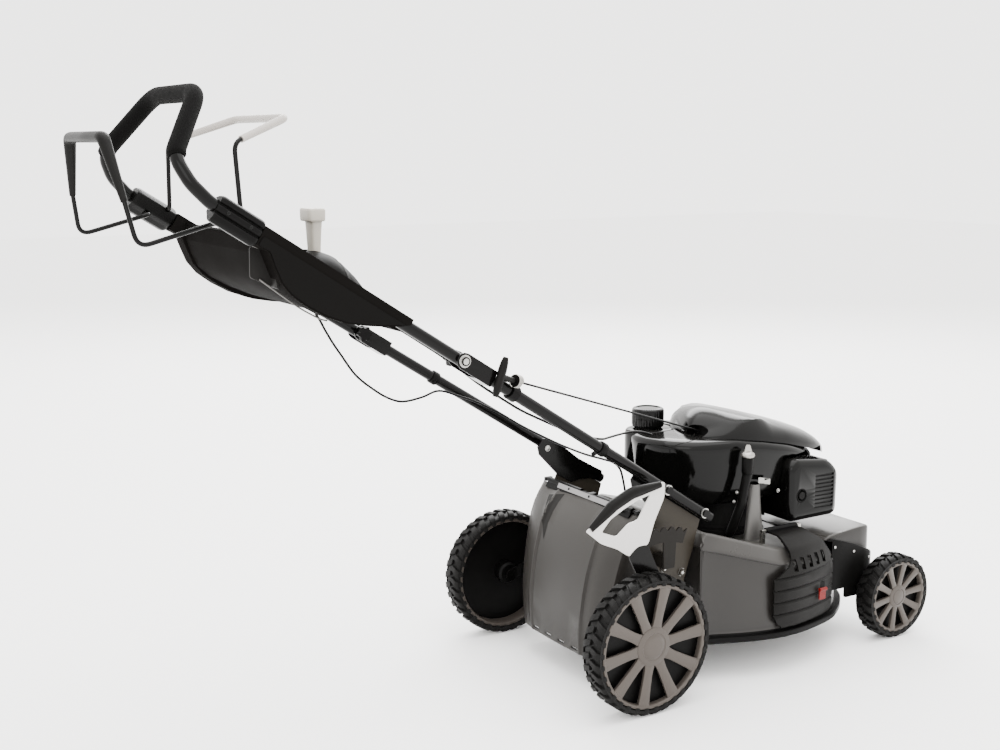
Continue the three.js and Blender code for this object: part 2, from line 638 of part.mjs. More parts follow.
// Lower outline of the tray between the cheeks, from its rear end to its front end.
const CONSOLE_BELLY = [
  [-742, 930], [-734, 905], [-722, 880], [-700, 860], [-665, 840], [-623, 822], [-568, 807],
  [-520, 796], [-489, 783],
];
const lineHeight = (y) => HANDLE_FOOT.z + HANDLE_SLOPE.z * (HANDLE_FOOT.y - y);
const CONSOLE_HALF = 190;
const CHEEK_X = [186, 224.6]; // at the front end; they follow the tubes outwards

// Moves a body outwards towards the rear, as the handle tubes do.
const flared = (body) => solid(geometryOf(body).applyMatrix4(new THREE.Matrix4().set(
  1, -HANDLE_SLOPE.x, 0, -490 * HANDLE_SLOPE.x, 0, 1, 0, 0, 0, 0, 1, 0, 0, 0, 0, 1)));

function consoleTray() {
  const rear = CONSOLE_BELLY[0][0];
  const front = CONSOLE_BELLY.at(-1)[0];
  const body = plate(
    [...CONSOLE_BELLY, [front, lineHeight(front) + 2], [rear, lineHeight(rear) + 2]],
    -CONSOLE_HALF, CONSOLE_HALF);
  const floor = CONSOLE_BELLY.map(([y, z]) => [THREE.MathUtils.clamp(y, rear + 4, front - 4), z + 5]);
  const cavity = plate(
    [...floor, [front - 4, 1100], [rear + 4, 1100]], 4 - CONSOLE_HALF, CONSOLE_HALF - 4);
  const tubeRoom = tube([[209.7, ...onHandle(85, 0)], HANDLE_PATH[1]], 12, 12);
  const cheek = cut(flared(plate(CHEEK, ...CHEEK_X)), tubeRoom);
  return join(cut(body, cavity), cheek, mirrored(cheek));
}

// Stations of the console's raised front: y, half width, top z.
const DOME_STATIONS = [
  [-650, 70, 903], [-615, 98, 915], [-577, 112, 917], [-548, 116, 911], [-508, 112, 883],
  [-478, 100, 854], [-462, 84, 830],
];
const SPEED_PIVOT = { y: -575, z: 872 };

function archStation(y, centreX, half, low, high, steps = 8) {
  return Array.from({ length: steps + 1 }, (_, i) => {
    const turn = (Math.PI * i) / steps;
    return [centreX + half * Math.cos(turn), y, low + (high - low) * Math.sin(turn)];
  });
}

function consoleCover() {
  const base = (y) => lineHeight(y) + 3;
  const rear = CONSOLE_BELLY[0][0];
  const front = CONSOLE_BELLY.at(-1)[0];
  const sheet = plate([
    [rear, base(rear)], [front, base(front)], [front, base(front) + 3.5], [rear, base(rear) + 3.5]],
    -CONSOLE_HALF, CONSOLE_HALF);
  const sides = [[185.2, -480], [192.6, -750]];
  const lid = sheet.intersect(slab([...sides, ...sides.map(([x, y]) => [-x, y]).reverse()], 700, 1100));
  const rings = DOME_STATIONS.map(([y, half, top]) => archStation(y, 0, half, base(y), top));
  const dome = skin(rings, middleOf(rings[0]), middleOf(rings.at(-1)));
  const hollow = moved(dome, 0, 0, -4.5);
  const slot = box(-18, 18, -606, -544, 800, 960);
  const cheek = box(17, 22, -600, -550, 851, 960).intersect(dome);
  const pinHole = crossBar(-30, 30, SPEED_PIVOT.y, SPEED_PIVOT.z, 5.6, 12);
  const shell = join(lid, cut(dome, hollow), cheek, mirrored(cheek));
  return cut(shell, slot, pinHole);
}

function speedLever() {
  const stem = plate([[-583, 862], [-567, 862], [-565, 968], [-585, 968]], -14, 14);
  const cap = plate([[-594, 967], [-556, 967], [-555, 990], [-562, 996], [-588, 996], [-595, 990]],
    -25, 25);
  return join(stem, cap, crossBar(-23, 23, SPEED_PIVOT.y, SPEED_PIVOT.z, 5, 10));
}

// ---------------------------------------------------------------- starter rope
const along = (distance) => ROPE_GUIDE.clone().addScaledVector(ROPE_DIRECTION, distance).toArray();
const ROPE_GRIP_AT = 46;
const ROPE_HIDDEN = 590;

function starterHandle() {
  const centre = new THREE.Vector3(...along(ROPE_GRIP_AT));
  const across = new THREE.Vector3(1, 0, 0).cross(ROPE_DIRECTION).normalize().multiplyScalar(37);
  const ends = [1, -1].map((k) => centre.clone().addScaledVector(across, k).toArray());
  return join(bar(ends[0], ends[1], 8.5, 12), bar(centre.toArray(), along(9), 6, 10));
}

function ropeGuide() {
  const run = HANDLE_FOOT.y - ROPE_GUIDE.y;
  const ring = bar(tubePoint(run - 7), tubePoint(run + 7), 15.5, 14);
  const eye = bar(along(-6), along(6), 11, 12);
  const clear = bar(tubePoint(run - 30), tubePoint(run + 30), 11.7, 14);
  return cut(join(ring, eye), clear, bar(along(-20), along(20), 3.4, 8));
}

// ---------------------------------------------------------------- engine
const SHROUD = { x: -10, y: 425 };

// Points round a rounded-rectangle-like outline with half sizes a and b.
function plan(centreX, centreY, a, b, count, height, power = 0.82) {
  return Array.from({ length: count }, (_, i) => {
    const turn = (2 * Math.PI * i) / count;
    const [c, s] = [Math.cos(turn), Math.sin(turn)];
    const x = centreX + a * Math.sign(c) * Math.abs(c) ** power;
    const y = centreY + b * Math.sign(s) * Math.abs(s) ** power;
    return [x, y, height(y)];
  });
}

const HOOD_LINE = [[350, 478], [500, 452], [600, 425], [675, 398]];
const hoodLine = (y) => heightAt(HOOD_LINE, y);

function shroudSolid(shrink) {
  const ring = (a, b, height) => plan(SHROUD.x, SHROUD.y, a - shrink, b - shrink, 24, height);
  const rings = [
    ring(120, 205, () => 336 - (shrink ? 5 : 0)),
    ring(134, 220, (y) => Math.min(400, hoodLine(y) - 30 - shrink)),
    ring(140, 226, (y) => hoodLine(y) - 22 - shrink),
    ring(132, 216, (y) => hoodLine(y) - GAP - shrink),
  ];
  const low = rings[0][0][2];
  const high = hoodLine(SHROUD.y) - GAP - shrink;
  return skin(rings, [SHROUD.x, SHROUD.y, low], [SHROUD.x, SHROUD.y, high]);
}

const TANK = { x: -74, y: 268 };
const FILLER_NECK = { x: -76, y: 262 };
const tankSolid = (grow) => {
  const ring = (a, z) => plan(TANK.x, TANK.y, a + grow, a + 6 + grow, 20, () => z);
  return skin(
    [ring(46, 396 - grow), ring(50, 404 - grow), ring(50, 474 + grow), ring(46, 481 + grow)],
    [TANK.x, TANK.y, 396 - grow], [TANK.x, TANK.y, 481 + grow]);
};

const MUFFLER_BOX = [60, 150, 484, 634, 277, 422];
const AIR_BOX = [-150, -66, 486, 622, 296, 392];
const grownBox = ([x0, x1, y0, y1, z0, z1], grow) =>
  box(x0 - grow, x1 + grow, y0 - grow, y1 + grow, z0 - grow, z1 + grow);

function engineShroud() {
  return cut(
    shroudSolid(0), shroudSolid(3), tankSolid(GAP), grownBox(MUFFLER_BOX, GAP + 1),
    grownBox(AIR_BOX, GAP + 1));
}

// Stations of the hood over the flywheel: y, centre x, half width, top z.
const HOOD_STATIONS = [
  [296, 22, 48, 502], [318, 12, 80, 519], [352, 0, 108, 531], [420, -8, 128, 520],
  [500, -10, 128, 499], [572, -8, 116, 478], [632, -4, 92, 452], [672, 0, 58, 424],
];
function topCover() {
  const rings = HOOD_STATIONS.map(([y, x, half, top]) =>
    archStation(y, x, half, hoodLine(y) + GAP, top, 10));
  const hood = skin(rings, middleOf(rings[0]), middleOf(rings.at(-1)));
  const notch = box(14, 72, 280, 326, 470, 503);
  const mufflerRoom = grownBox(MUFFLER_BOX, GAP + 1);
  return cut(hood, moved(hood, 0, 0, -4), notch, mufflerRoom, tankSolid(GAP));
}

function fuelTank() {
  const neck = turned([[0, 470], [24, 470], [24, 508], [0, 508]], FILLER_NECK.x, FILLER_NECK.y, 20);
  return join(tankSolid(0), neck);
}

function fuelCap() {
  const ribs = 20;
  return turned(
    [[0, 508.6], [25, 508.6], [25, 484], [33, 484], [36, 490], [36, 522], [32, 527], [0, 528]],
    FILLER_NECK.x, FILLER_NECK.y, ribs);
}

function crankcase() {
  return turned([
    [13.2, 250.4], [84, 250.4], [84, 262], [74, 266], [70, 322], [60, 334], [13.2, 334],
    [13.2, 250.4]], 0, CRANK.y, 24);
}

function cylinder() {
  const barrel = box(-36, 36, 480, 604, 276, 330);
  const fins = Array.from({ length: 7 }, (_, i) => box(-46, 46, 490 + 15 * i, 494 + 15 * i, 270, 333));
  return join(barrel, ...fins, box(-40, 40, 600, 612, 272, 332));
}

function crankshaft() {
  const r = CRANK.radius;
  return turned([
    [0, 80.5], [13, 80.5], [13, 88], [9, 88], [9, 92.6], [26, 92.6], [26, 101], [r, 101], [r, 199],
    [34, 199], [34, 216], [r, 216], [r, 392], [0, 392]], 0, CRANK.y, 24);
}

function flywheel() {
  return turned([
    [12.9, 342], [80, 342], [88, 348], [88, 372], [30, 372], [30, 384], [12.9, 384], [12.9, 342]],
  0, CRANK.y, 24);
}

function blade() {
  const { length, width, low, high } = BLADE;
  const [l, w] = [length / 2, width / 2];
  const outline = [
    [-l, -w], [-l + 60, -w], [-90, -w + 6], [90, -w + 6], [l, -w + 6], [l, w], [l - 60, w],
    [90, w - 6], [-90, w - 6], [-l, w - 6],
  ].map(([x, y]) => [x, y + CRANK.y]);
  const strip = slab(outline, low, high);
  const lift = box(-l, -l + 55, CRANK.y + w - 7, CRANK.y + w - 3, low, high + 9);
  const otherLift = box(l - 55, l, CRANK.y - w + 3, CRANK.y - w + 7, low, high + 9);
  const hole = turned([[0, 70], [9.6, 70], [9.6, 110], [0, 110]], 0, CRANK.y, 16);
  return cut(join(strip, lift, otherLift), hole);
}

function oilFillerTube() {
  return tube(rounded([
    [82, 382, 272], [104, 350, 266], [121, 340, 276], [142, 350, 345], [150, 356, 412],
    [150, 356, 446]], 24, 3), 10, 10);
}

function oilDipstick() {
  return join(
    turned([[0, 446.6], [15, 446.6], [17, 451], [15, 457], [6, 461], [0, 461]], 150, 356, 16),
    plate([[346, 458], [366, 458], [362, 474], [350, 474]], 147, 153));
}

// Side outline of the muffler's cover, drawn in towards its middle by a fraction.
function mufflerOutline(fraction) {
  const [, , y0, y1, z0, z1] = MUFFLER_BOX;
  const outline = [
    [y0 + 14, z0], [y1 - 22, z0 + 8], [y1, z0 + 34], [y1, z1 - 34], [y1 - 24, z1 - 4],
    [y0 + 10, z1], [y0, z1 - 10], [y0, z0 + 14]];
  return outline.map(([y, z]) => [
    THREE.MathUtils.lerp(y, (y0 + y1) / 2, fraction),
    THREE.MathUtils.lerp(z, (z0 + z1) / 2, fraction)]);
}

function muffler() {
  const [x0, x1] = MUFFLER_BOX;
  const can = plate(mufflerOutline(0.14), x0 + 2, x1 - 10);
  return join(can, crossBar(x1 - 12, x1 + 1, 520, 338, 9, 12));
}

function mufflerCover() {
  const [x0, x1, , , z0] = MUFFLER_BOX;
  const outer = plate(mufflerOutline(0), x0, x1);
  const hollow = plate(mufflerOutline(0.07), x0 - 1, x1 - 4);
  const louvres = Array.from({ length: 5 }, (_, i) =>
    box(x1 - 6, x1 + 2, 552, 610, z0 + 52 + 14 * i, z0 + 57 + 14 * i));
  return cut(outer, hollow, ...louvres,
    crossBar(x1 - 8, x1 + 3, 520, 338, 12, 12));
}

function airCleaner() {
  const [x0, x1, y0, y1, z0, z1] = AIR_BOX;
  const low = box(x0 + 4, x1, y0 + 4, y1 - 4, z0, z0 + 60);
  return join(low, box(x0, x1, y0, y1, z0 + 60, z1));
}

function gearbox() {
  const casing = box(-38, 38, 46, 104, 138, 190);
  const pulley = turned([[0, 188], [11, 188], [11, 199], [36, 199], [36, 216], [0, 216]], 0, 75, 24);
  return cut(join(casing, pulley), crossBar(-60, 60, REAR_PIVOT.y, REAR_PIVOT.z, 10.7, 16));
}

function driveBelt() {
  const loop = (extra, z0, z1) => {
    const front = Array.from({ length: 13 }, (_, i) => {
      const turn = (Math.PI * i) / 12;
      return [(34 + extra) * Math.cos(turn), CRANK.y + (34 + extra) * Math.sin(turn)];
    });
    const rear = Array.from({ length: 13 }, (_, i) => {
      const turn = Math.PI + (Math.PI * i) / 12;
      return [(36 + extra) * Math.cos(turn), 75 + (36 + extra) * Math.sin(turn)];
    });
    return slab([...front, ...rear], z0, z1);
  };
  return cut(loop(7, 203.5, 212.5), loop(1.2, 190, 230));
}

// ---------------------------------------------------------------- control cables
const BRAKE_CABLE = [
  [150, -483, 788], [156, -440, 759], [160, -400, 732], [162, -358, 701], [162, -316, 669],
  [164, -272, 640], [165, -229, 613], [167, -184, 590], [168, -140, 569], [168, -100, 553],
  [165, -66, 541], [152, -30, 532], [130, 0, 527], [100, 50, 522], [70, 105, 516], [50, 150, 506],
  [38, 184, 494],
];
const DRIVE_CABLE = [
  [-150, -503, 780], [-150, -494, 766], [-150, -484, 747], [-150, -468, 720], [-151, -450, 694],
  [-152, -418, 650], [-153, -377, 616], [-154, -343, 595], [-156, -310, 585], [-164, -262, 588],
  [-180, -213, 594], [-181, -165, 578], [-180, -120, 560], [-178, -60, 528], [-168, -20, 502],
  [-145, 12, 482], [-100, 36, 466], [-50, 42, 461], [0, 43, 460], [50, 46, 461], [84, 49, 460],
  [102, 52, 450], [104, 58, 430], [101, 66, 405], [98, 74, 378],
];

// ---------------------------------------------------------------- assembly
part('deck_shell', deckShell(), DECK_GREY);
part('front_cover', frontCover(), DECK_GREY);
part('chute_cover', chuteCover(), BLACK_PLASTIC);
part('rear_door', rearDoor(), DECK_GREY);
part('side_cover', sideCover(), BLACK_PLASTIC);
part('side_latch', sideLatch(), RED_PLASTIC);
part('lever_quadrant', leverQuadrant(), BLACK_STEEL);

const pairs = {
  side_plate: [sidePlate(), PLATE_BROWN],
  handle_bracket: [handleBracket(), BLACK_STEEL],
  lower_tube: [lowerTube(), BLACK_STEEL],
  fold_clevis: [foldClevis(), BLACK_STEEL],
  bail_block: [bailBlock(), BLACK_PLASTIC],
};
for (const [name, [body, look]] of Object.entries(pairs)) {
  part(`${name}_right`, body, look);
  part(`${name}_left`, mirrored(body), look);
}

part('rear_axle', rearAxle(), BLACK_STEEL);
part('front_axle', frontAxle(), BLACK_STEEL);
wheel('rear_right', REAR_WHEEL, 1);
wheel('rear_left', REAR_WHEEL, -1);
wheel('front_right', FRONT_WHEEL, 1);
wheel('front_left', FRONT_WHEEL, -1);

const lever = heightLever();
part('height_lever', lever, BARE_STEEL);
part('height_lever_grip', leverGrip(lever), BLACK_PLASTIC);

part('upper_tube', upperTube(), BLACK_STEEL);
part('foam_grip', sleeve(HANDLE_PATH, ([, , z]) => z > 1085, 15, 12, 10), FOAM);
part('console', consoleTray(), BLACK_PLASTIC);
part('console_cover', consoleCover(), BLACK_PLASTIC);
part('speed_lever', speedLever(), CREAM);
part('drive_bail', tube(DRIVE_PATH, BAIL_ROD, 8), BLACK_STEEL);
part('drive_bail_grip', sleeve(DRIVE_PATH, ([, , z]) => z > 1016, 9, 4.8, 8), BLACK_PLASTIC);
part('brake_bail', tube(BRAKE_PATH, BAIL_ROD, 8), BLACK_STEEL);
part('brake_bail_grip', sleeve(BRAKE_PATH, ([, , z]) => z > 1113, 7.5, 4.8, 8), WHITE_GRIP);

part('rope_guide', ropeGuide(), BLACK_PLASTIC);
part('starter_handle', starterHandle(), BLACK_PLASTIC);
part('starter_rope', tube([along(8.4), along(-ROPE_HIDDEN)], 1.5, 8), CABLE_BLACK);
part('rope_sheath', tube([along(-7), ROPE_OUTLET.toArray()], 2.7, 8, 2.1, 8), CABLE_BLACK);

part('crankcase', crankcase(), CAST_ALUMINIUM);
part('cylinder', cylinder(), CAST_ALUMINIUM);
part('engine_shroud', engineShroud(), GLOSS_BLACK);
part('top_cover', topCover(), GLOSS_BLACK);
part('fuel_tank', fuelTank(), GLOSS_BLACK);
part('fuel_cap', fuelCap(), GLOSS_BLACK);
part('oil_filler_tube', oilFillerTube(), BLACK_PLASTIC);
part('oil_dipstick', oilDipstick(), CAST_ALUMINIUM);
part('muffler', muffler(), BARE_STEEL);
part('muffler_cover', mufflerCover(), GLOSS_BLACK);
part('air_cleaner', airCleaner(), BLACK_PLASTIC);
part('crankshaft', crankshaft(), BARE_STEEL);
part('flywheel', flywheel(), CAST_ALUMINIUM);
part('blade', blade(), BLACK_STEEL);
part('gearbox', gearbox(), CAST_ALUMINIUM);
part('drive_belt', driveBelt(), CABLE_BLACK);
part('brake_cable', tube(BRAKE_CABLE, 2.5, 8), CABLE_BLACK);
part('drive_cable', tube(DRIVE_CABLE, 2.5, 8), CABLE_BLACK);

// The origin becomes the middle of the base of the bounding box.
mower.updateMatrixWorld(true);
const bounds = new THREE.Box3().setFromObject(mower);
const centre = bounds.getCenter(new THREE.Vector3());
mower.position.set(-centre.x, -centre.y, -bounds.min.z);

export default mower;
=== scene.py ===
import json
import math
import bmesh
import bpy
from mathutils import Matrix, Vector, geometry


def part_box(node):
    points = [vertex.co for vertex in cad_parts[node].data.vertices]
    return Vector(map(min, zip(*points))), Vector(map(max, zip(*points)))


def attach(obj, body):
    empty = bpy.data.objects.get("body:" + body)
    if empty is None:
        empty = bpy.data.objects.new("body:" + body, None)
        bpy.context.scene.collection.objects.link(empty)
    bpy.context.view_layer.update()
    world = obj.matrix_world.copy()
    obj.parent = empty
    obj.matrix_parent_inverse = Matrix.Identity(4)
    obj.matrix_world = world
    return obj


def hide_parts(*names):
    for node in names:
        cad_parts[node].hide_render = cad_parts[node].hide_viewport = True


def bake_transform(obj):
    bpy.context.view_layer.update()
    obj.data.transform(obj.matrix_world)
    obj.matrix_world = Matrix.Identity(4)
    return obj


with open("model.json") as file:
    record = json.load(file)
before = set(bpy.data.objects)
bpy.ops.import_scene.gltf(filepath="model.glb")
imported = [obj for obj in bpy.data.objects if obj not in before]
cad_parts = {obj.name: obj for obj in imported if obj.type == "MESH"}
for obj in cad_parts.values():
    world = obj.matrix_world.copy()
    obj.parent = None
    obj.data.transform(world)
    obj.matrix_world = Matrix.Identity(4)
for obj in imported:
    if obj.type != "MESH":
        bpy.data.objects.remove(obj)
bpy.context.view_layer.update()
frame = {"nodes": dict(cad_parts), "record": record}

# Lengths below are millimetres, with the origin on the ground under the rear wheel centres, as in
# the CAD. place() turns them into the row frame in metres.
tyre_low, tyre_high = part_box("rear_right_tyre")
SHIFT = (tyre_low[1] + tyre_high[1]) / 2
NODE_BODY = {node: body for body, nodes in frame["record"]["behaviour"]["bodies"].items()
    for node in nodes}


def place(p):
    """Metres in the frame from millimetres in the CAD."""
    return Vector((p[0] / 1000, p[1] / 1000 + SHIFT, p[2] / 1000))


def linked(name, data):
    """A new object in the scene's collection."""
    obj = bpy.data.objects.new(name, data)
    bpy.context.scene.collection.objects.link(obj)
    return obj


# ---- camera
camera = linked("camera", bpy.data.cameras.new("camera"))
bpy.context.scene.camera = camera
camera.location = place((2222.5, -1551.3, 1107.7))
camera.rotation_euler = (math.radians(90 - 9.91), 0, math.radians(58.206))
camera.data.sensor_width = 36
camera.data.lens = 47.85
camera.data.clip_end = 50


# ---- materials
PATCH_SCALE = 9.0  # patches of colour and gloss per metre
DUST_COLOR = (0.5, 0.48, 0.45, 1)


def put(node, values):
    for socket, value in values.items():
        node.inputs[socket].default_value = value


def surface(name, color, rough, metal=0.0, tint=0.12, spread=0.08, grain=600.0, bump=0.06,
        kind="noise", depth=0.0003, dust=0.0, sheen=0.0, spec=0.5):
    """A procedural finish: patchy colour, uneven gloss, fine grain, and dust on what faces up."""
    material = bpy.data.materials.new(name)
    material.use_nodes = True
    nodes, links = material.node_tree.nodes, material.node_tree.links
    shader = nodes["Principled BSDF"]
    coords = nodes.new("ShaderNodeTexCoord")
    broad = nodes.new("ShaderNodeTexNoise")
    put(broad, {"Scale": PATCH_SCALE, "Detail": 6})
    links.new(coords.outputs["Object"], broad.inputs["Vector"])
    mix = nodes.new("ShaderNodeMix")
    mix.data_type = "RGBA"
    put(mix, {6: (*(c * (1 - tint) for c in color), 1),
        7: (*(min(1, c * (1 + tint)) for c in color), 1)})
    links.new(broad.outputs["Fac"], mix.inputs[0])
    paint = mix.outputs[2]
    if dust:
        normal = nodes.new("ShaderNodeNewGeometry")
        split = nodes.new("ShaderNodeSeparateXYZ")
        links.new(normal.outputs["Normal"], split.inputs[0])
        film = nodes.new("ShaderNodeMapRange")
        put(film, {"From Min": 0.2, "To Max": dust})
        links.new(split.outputs["Z"], film.inputs["Value"])
        dusty = nodes.new("ShaderNodeMix")
        dusty.data_type = "RGBA"
        put(dusty, {7: DUST_COLOR})
        links.new(film.outputs["Result"], dusty.inputs[0])
        links.new(paint, dusty.inputs[6])
        paint = dusty.outputs[2]
    links.new(paint, shader.inputs["Base Color"])
    gloss = nodes.new("ShaderNodeMapRange")
    put(gloss, {"From Min": 0.25, "From Max": 0.75, "To Min": max(0.03, rough - spread),
        "To Max": min(1, rough + spread)})
    links.new(broad.outputs["Fac"], gloss.inputs["Value"])
    links.new(gloss.outputs["Result"], shader.inputs["Roughness"])
    put(shader, {"Metallic": metal, "Specular IOR Level": spec})
    if sheen:
        put(shader, {"Sheen Weight": sheen})
    if bump:
        if kind == "cells":
            fine = nodes.new("ShaderNodeTexVoronoi")
            out = "Distance"
        else:
            fine = nodes.new("ShaderNodeTexNoise")
            put(fine, {"Detail": 3})
            out = "Fac"
        put(fine, {"Scale": grain})
        if kind == "brushed":
            stretch = nodes.new("ShaderNodeMapping")
            put(stretch, {"Scale": (1, 0.03, 0.03)})
            links.new(coords.outputs["Object"], stretch.inputs["Vector"])
            links.new(stretch.outputs["Vector"], fine.inputs["Vector"])
        else:
            links.new(coords.outputs["Object"], fine.inputs["Vector"])
        relief = nodes.new("ShaderNodeBump")
        put(relief, {"Strength": min(1, bump * 4), "Distance": depth})
        links.new(fine.outputs[out], relief.inputs["Height"])
        links.new(relief.outputs["Normal"], shader.inputs["Normal"])
    return material


DECK = surface("deck_paint", (0.0115, 0.0102, 0.0092), 0.32, 0.2, grain=1400, bump=0.05,
    dust=0.07, spec=0.32)
BROWN = surface("plate_paint", (0.019, 0.0155, 0.011), 0.42, 0.1, grain=1200, bump=0.05, spec=0.15)
BROWN_DARK = surface("plate_paint_dark", (0.006, 0.005, 0.004), 0.45, 0.1, grain=1200, bump=0.05,
    spec=0.1)
DOOR = surface("door_plastic", (0.0165, 0.0148, 0.0132), 0.42, 0.15, grain=1500, bump=0.07,
    dust=0.04, spec=0.2)
# A darker copy of the door plastic: painted shade for the patch beside the door's ridge.
DOOR_PAINTED_SHADE = surface("door_painted_shade", (0.006, 0.0054, 0.0048), 0.5, grain=1500, bump=0.07,
    spec=0.08)
LEDGE = surface("ledge_plastic", (0.15, 0.145, 0.145), 0.4, tint=0.05, grain=1200, bump=0.06)
HUB = surface("hub_plastic", (0.052, 0.044, 0.038), 0.38, 0.3, tint=0.06, grain=1800, bump=0.04,
    spec=0.25)
STEEL_BLACK = surface("black_paint", (0.0016, 0.0015, 0.0014), 0.14, 0.0, grain=500, bump=0.03,
    spec=0.1)
PLASTIC = surface("black_plastic", (0.0018, 0.0017, 0.0016), 0.4, grain=1600, bump=0.12,
    spread=0.06, spec=0.06)
PLASTIC_SOFT = surface("soft_black_plastic", (0.0028, 0.0025, 0.0022), 0.45, grain=900, bump=0.1,
    spec=0.08)
GLOSS = surface("engine_black", (0.0012, 0.0012, 0.0011), 0.12, grain=250, bump=0.02, dust=0.008,
    spec=0.12)
HOOD = surface("hood_black", (0.0013, 0.0012, 0.0011), 0.18, grain=1300, bump=0.05, dust=0.004,
    spec=0.13)
RUBBER = surface("tyre_rubber", (0.003, 0.0028, 0.0026), 0.6, grain=700, bump=0.25, spread=0.12,
    tint=0.25, spec=0.1)
FOAM = surface("foam", (0.0018, 0.0017, 0.0016), 0.92, grain=900, bump=0.5, kind="cells",
    depth=0.0006, sheen=0.01, spec=0.05)
CABLE = surface("cable_sleeve", (0.0018, 0.0018, 0.0018), 0.35, grain=900, bump=0.05, spec=0.1)
STEEL = surface("bare_steel", (0.30, 0.29, 0.27), 0.26, 0.95, grain=900, bump=0.08, kind="brushed")
PLATED = surface("lever_plate", (0.50, 0.485, 0.47), 0.34, 0.35, tint=0.04, grain=700, bump=0.06,
    kind="brushed")
ZINC = surface("zinc_bolt", (0.34, 0.335, 0.32), 0.3, 0.75, grain=900, bump=0.05)
ALLOY = surface("cast_alloy", (0.085, 0.082, 0.078), 0.45, 0.7, grain=420, bump=0.22, tint=0.25)
ALLOY_DARK = surface("sooty_alloy", (0.004, 0.0038, 0.0036), 0.6, 0.1, grain=420, bump=0.22,
    tint=0.25, spec=0.08)
WHITE = surface("white_grip", (0.30, 0.275, 0.25), 0.45, tint=0.05, grain=900, bump=0.06)
CREAM = surface("cream_knob", (0.33, 0.305, 0.26), 0.4, tint=0.04, grain=1100, bump=0.06)
RED = surface("red_plastic", (0.11, 0.003, 0.0025), 0.3, grain=900, bump=0.05, spec=0.2)
GREY = surface("grey_plastic", (0.010, 0.0095, 0.009), 0.5, grain=1200, bump=0.1, spec=0.05)
LABEL = surface("plain_label", (0.30, 0.295, 0.28), 0.5, tint=0.03, bump=0)


# ---- mesh helpers
WELD = 0.00001  # points closer than this, in metres, become one
SIDES = (("right", 1), ("left", -1))
X_AXIS, Y_AXIS, Z_AXIS = (1, 0, 0), (0, 1, 0), (0, 0, 1)


class Shape:
    """Vertices and faces of one piece, gathered from several closed or open forms."""

    def __init__(self, *forms):
        self.verts, self.faces, self.slots = [], [], []
        for form in forms:
            self.add(form)

    def add(self, form, slot=0):
        verts, faces = form
        start = len(self.verts)
        self.verts += [tuple(v) for v in verts]
        self.faces += [[start + i for i in face] for face in faces]
        self.slots += [slot] * len(faces)
        return self

    def mirror(self):
        start = len(self.verts)
        self.verts += [(-x, y, z) for x, y, z in self.verts[:start]]
        self.faces += [[start + i for i in reversed(face)] for face in self.faces]
        self.slots += self.slots
        return self

    def flipped(self):
        other = Shape()
        other.verts = [(-x, y, z) for x, y, z in self.verts]
        other.faces = [list(reversed(face)) for face in self.faces]
        other.slots = list(self.slots)
        return other


def tidied(mesh, weld):
    """Joins points closer than weld, in metres, and turns the faces outwards."""
    edit = bmesh.new()
    edit.from_mesh(mesh)
    bmesh.ops.remove_doubles(edit, verts=edit.verts, dist=weld)
    bmesh.ops.recalc_face_normals(edit, faces=edit.faces)
    edit.to_mesh(mesh)
    edit.free()


def piece(name, shape, materials, body, bevel=0.0, steps=2, sharp=40, stands_for=()):
    """A new object from a Shape given in millimetres, riding on body."""
    materials = materials if isinstance(materials, (list, tuple)) else [materials]
    mesh = bpy.data.meshes.new(name)
    mesh.from_pydata([place(v) for v in shape.verts], [], shape.faces)
    for material in materials:
        mesh.materials.append(material)
    mesh.polygons.foreach_set("material_index", shape.slots)
    return finish_piece(name, mesh, body, bevel, steps, sharp, stands_for, WELD)


def finish_piece(name, mesh, body, bevel, steps, sharp, stands_for, weld):
    tidied(mesh, weld)
    mesh.shade_smooth()
    mesh.set_sharp_from_angle(angle=math.radians(sharp))
    obj = linked(name, mesh)
    if bevel:
        edge = obj.modifiers.new("bevel", "BEVEL")
        edge.width = bevel / 1000
        edge.segments = steps
        edge.limit_method = "ANGLE"
        edge.angle_limit = math.radians(sharp)
        edge.use_clamp_overlap = True
        edge.harden_normals = True
    if body:
        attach(obj, body)
    if stands_for:
        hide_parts(*stands_for)
    return obj


def refine(node, material, bevel=0.8, steps=2, sharp=30):
    """A finer piece from a CAD node: flat faces joined, edges rounded."""
    mesh = frame["nodes"][node].data.copy()
    mesh.materials.clear()
    mesh.materials.append(material)
    edit = bmesh.new()
    edit.from_mesh(mesh)
    bmesh.ops.remove_doubles(edit, verts=edit.verts, dist=0.00002)
    bmesh.ops.dissolve_limit(edit, angle_limit=math.radians(0.5), verts=edit.verts,
        edges=edit.edges)
    edit.to_mesh(mesh)
    edit.free()
    return finish_piece(node + "_fine", mesh, NODE_BODY[node], bevel, steps, sharp, (node,),
        WELD / 10)


def ring_of(count, radius_u, radius_v=None, power=1.0):
    """Points round an ellipse, or with a power below 1 round a squarer one."""
    radius_v = radius_v or radius_u
    out = []
    for i in range(count):
        a = 2 * math.pi * i / count
        c, s = math.cos(a), math.sin(a)
        out.append((radius_u * math.copysign(abs(c) ** power, c),
            radius_v * math.copysign(abs(s) ** power, s)))
    return out


def loft(rings, closed=True, start_cap=True, end_cap=True):
    """Faces between rings of as many points each. A ring that isn't closed makes a sheet."""
    count = len(rings[0])
    verts = [v for ring in rings for v in ring]
    faces = []
    for r in range(len(rings) - 1):
        for i in range(count if closed else count - 1):
            j = (i + 1) % count
            faces.append([r * count + i, r * count + j, (r + 1) * count + j, (r + 1) * count + i])
    if start_cap:
        faces.append(list(reversed(range(count))))
    if end_cap:
        faces.append([(len(rings) - 1) * count + i for i in range(count)])
    return verts, faces


def sleeve(rings):
    return loft(rings, True, False, False)


def sheet(rows):
    return loft(rows, False, False, False)


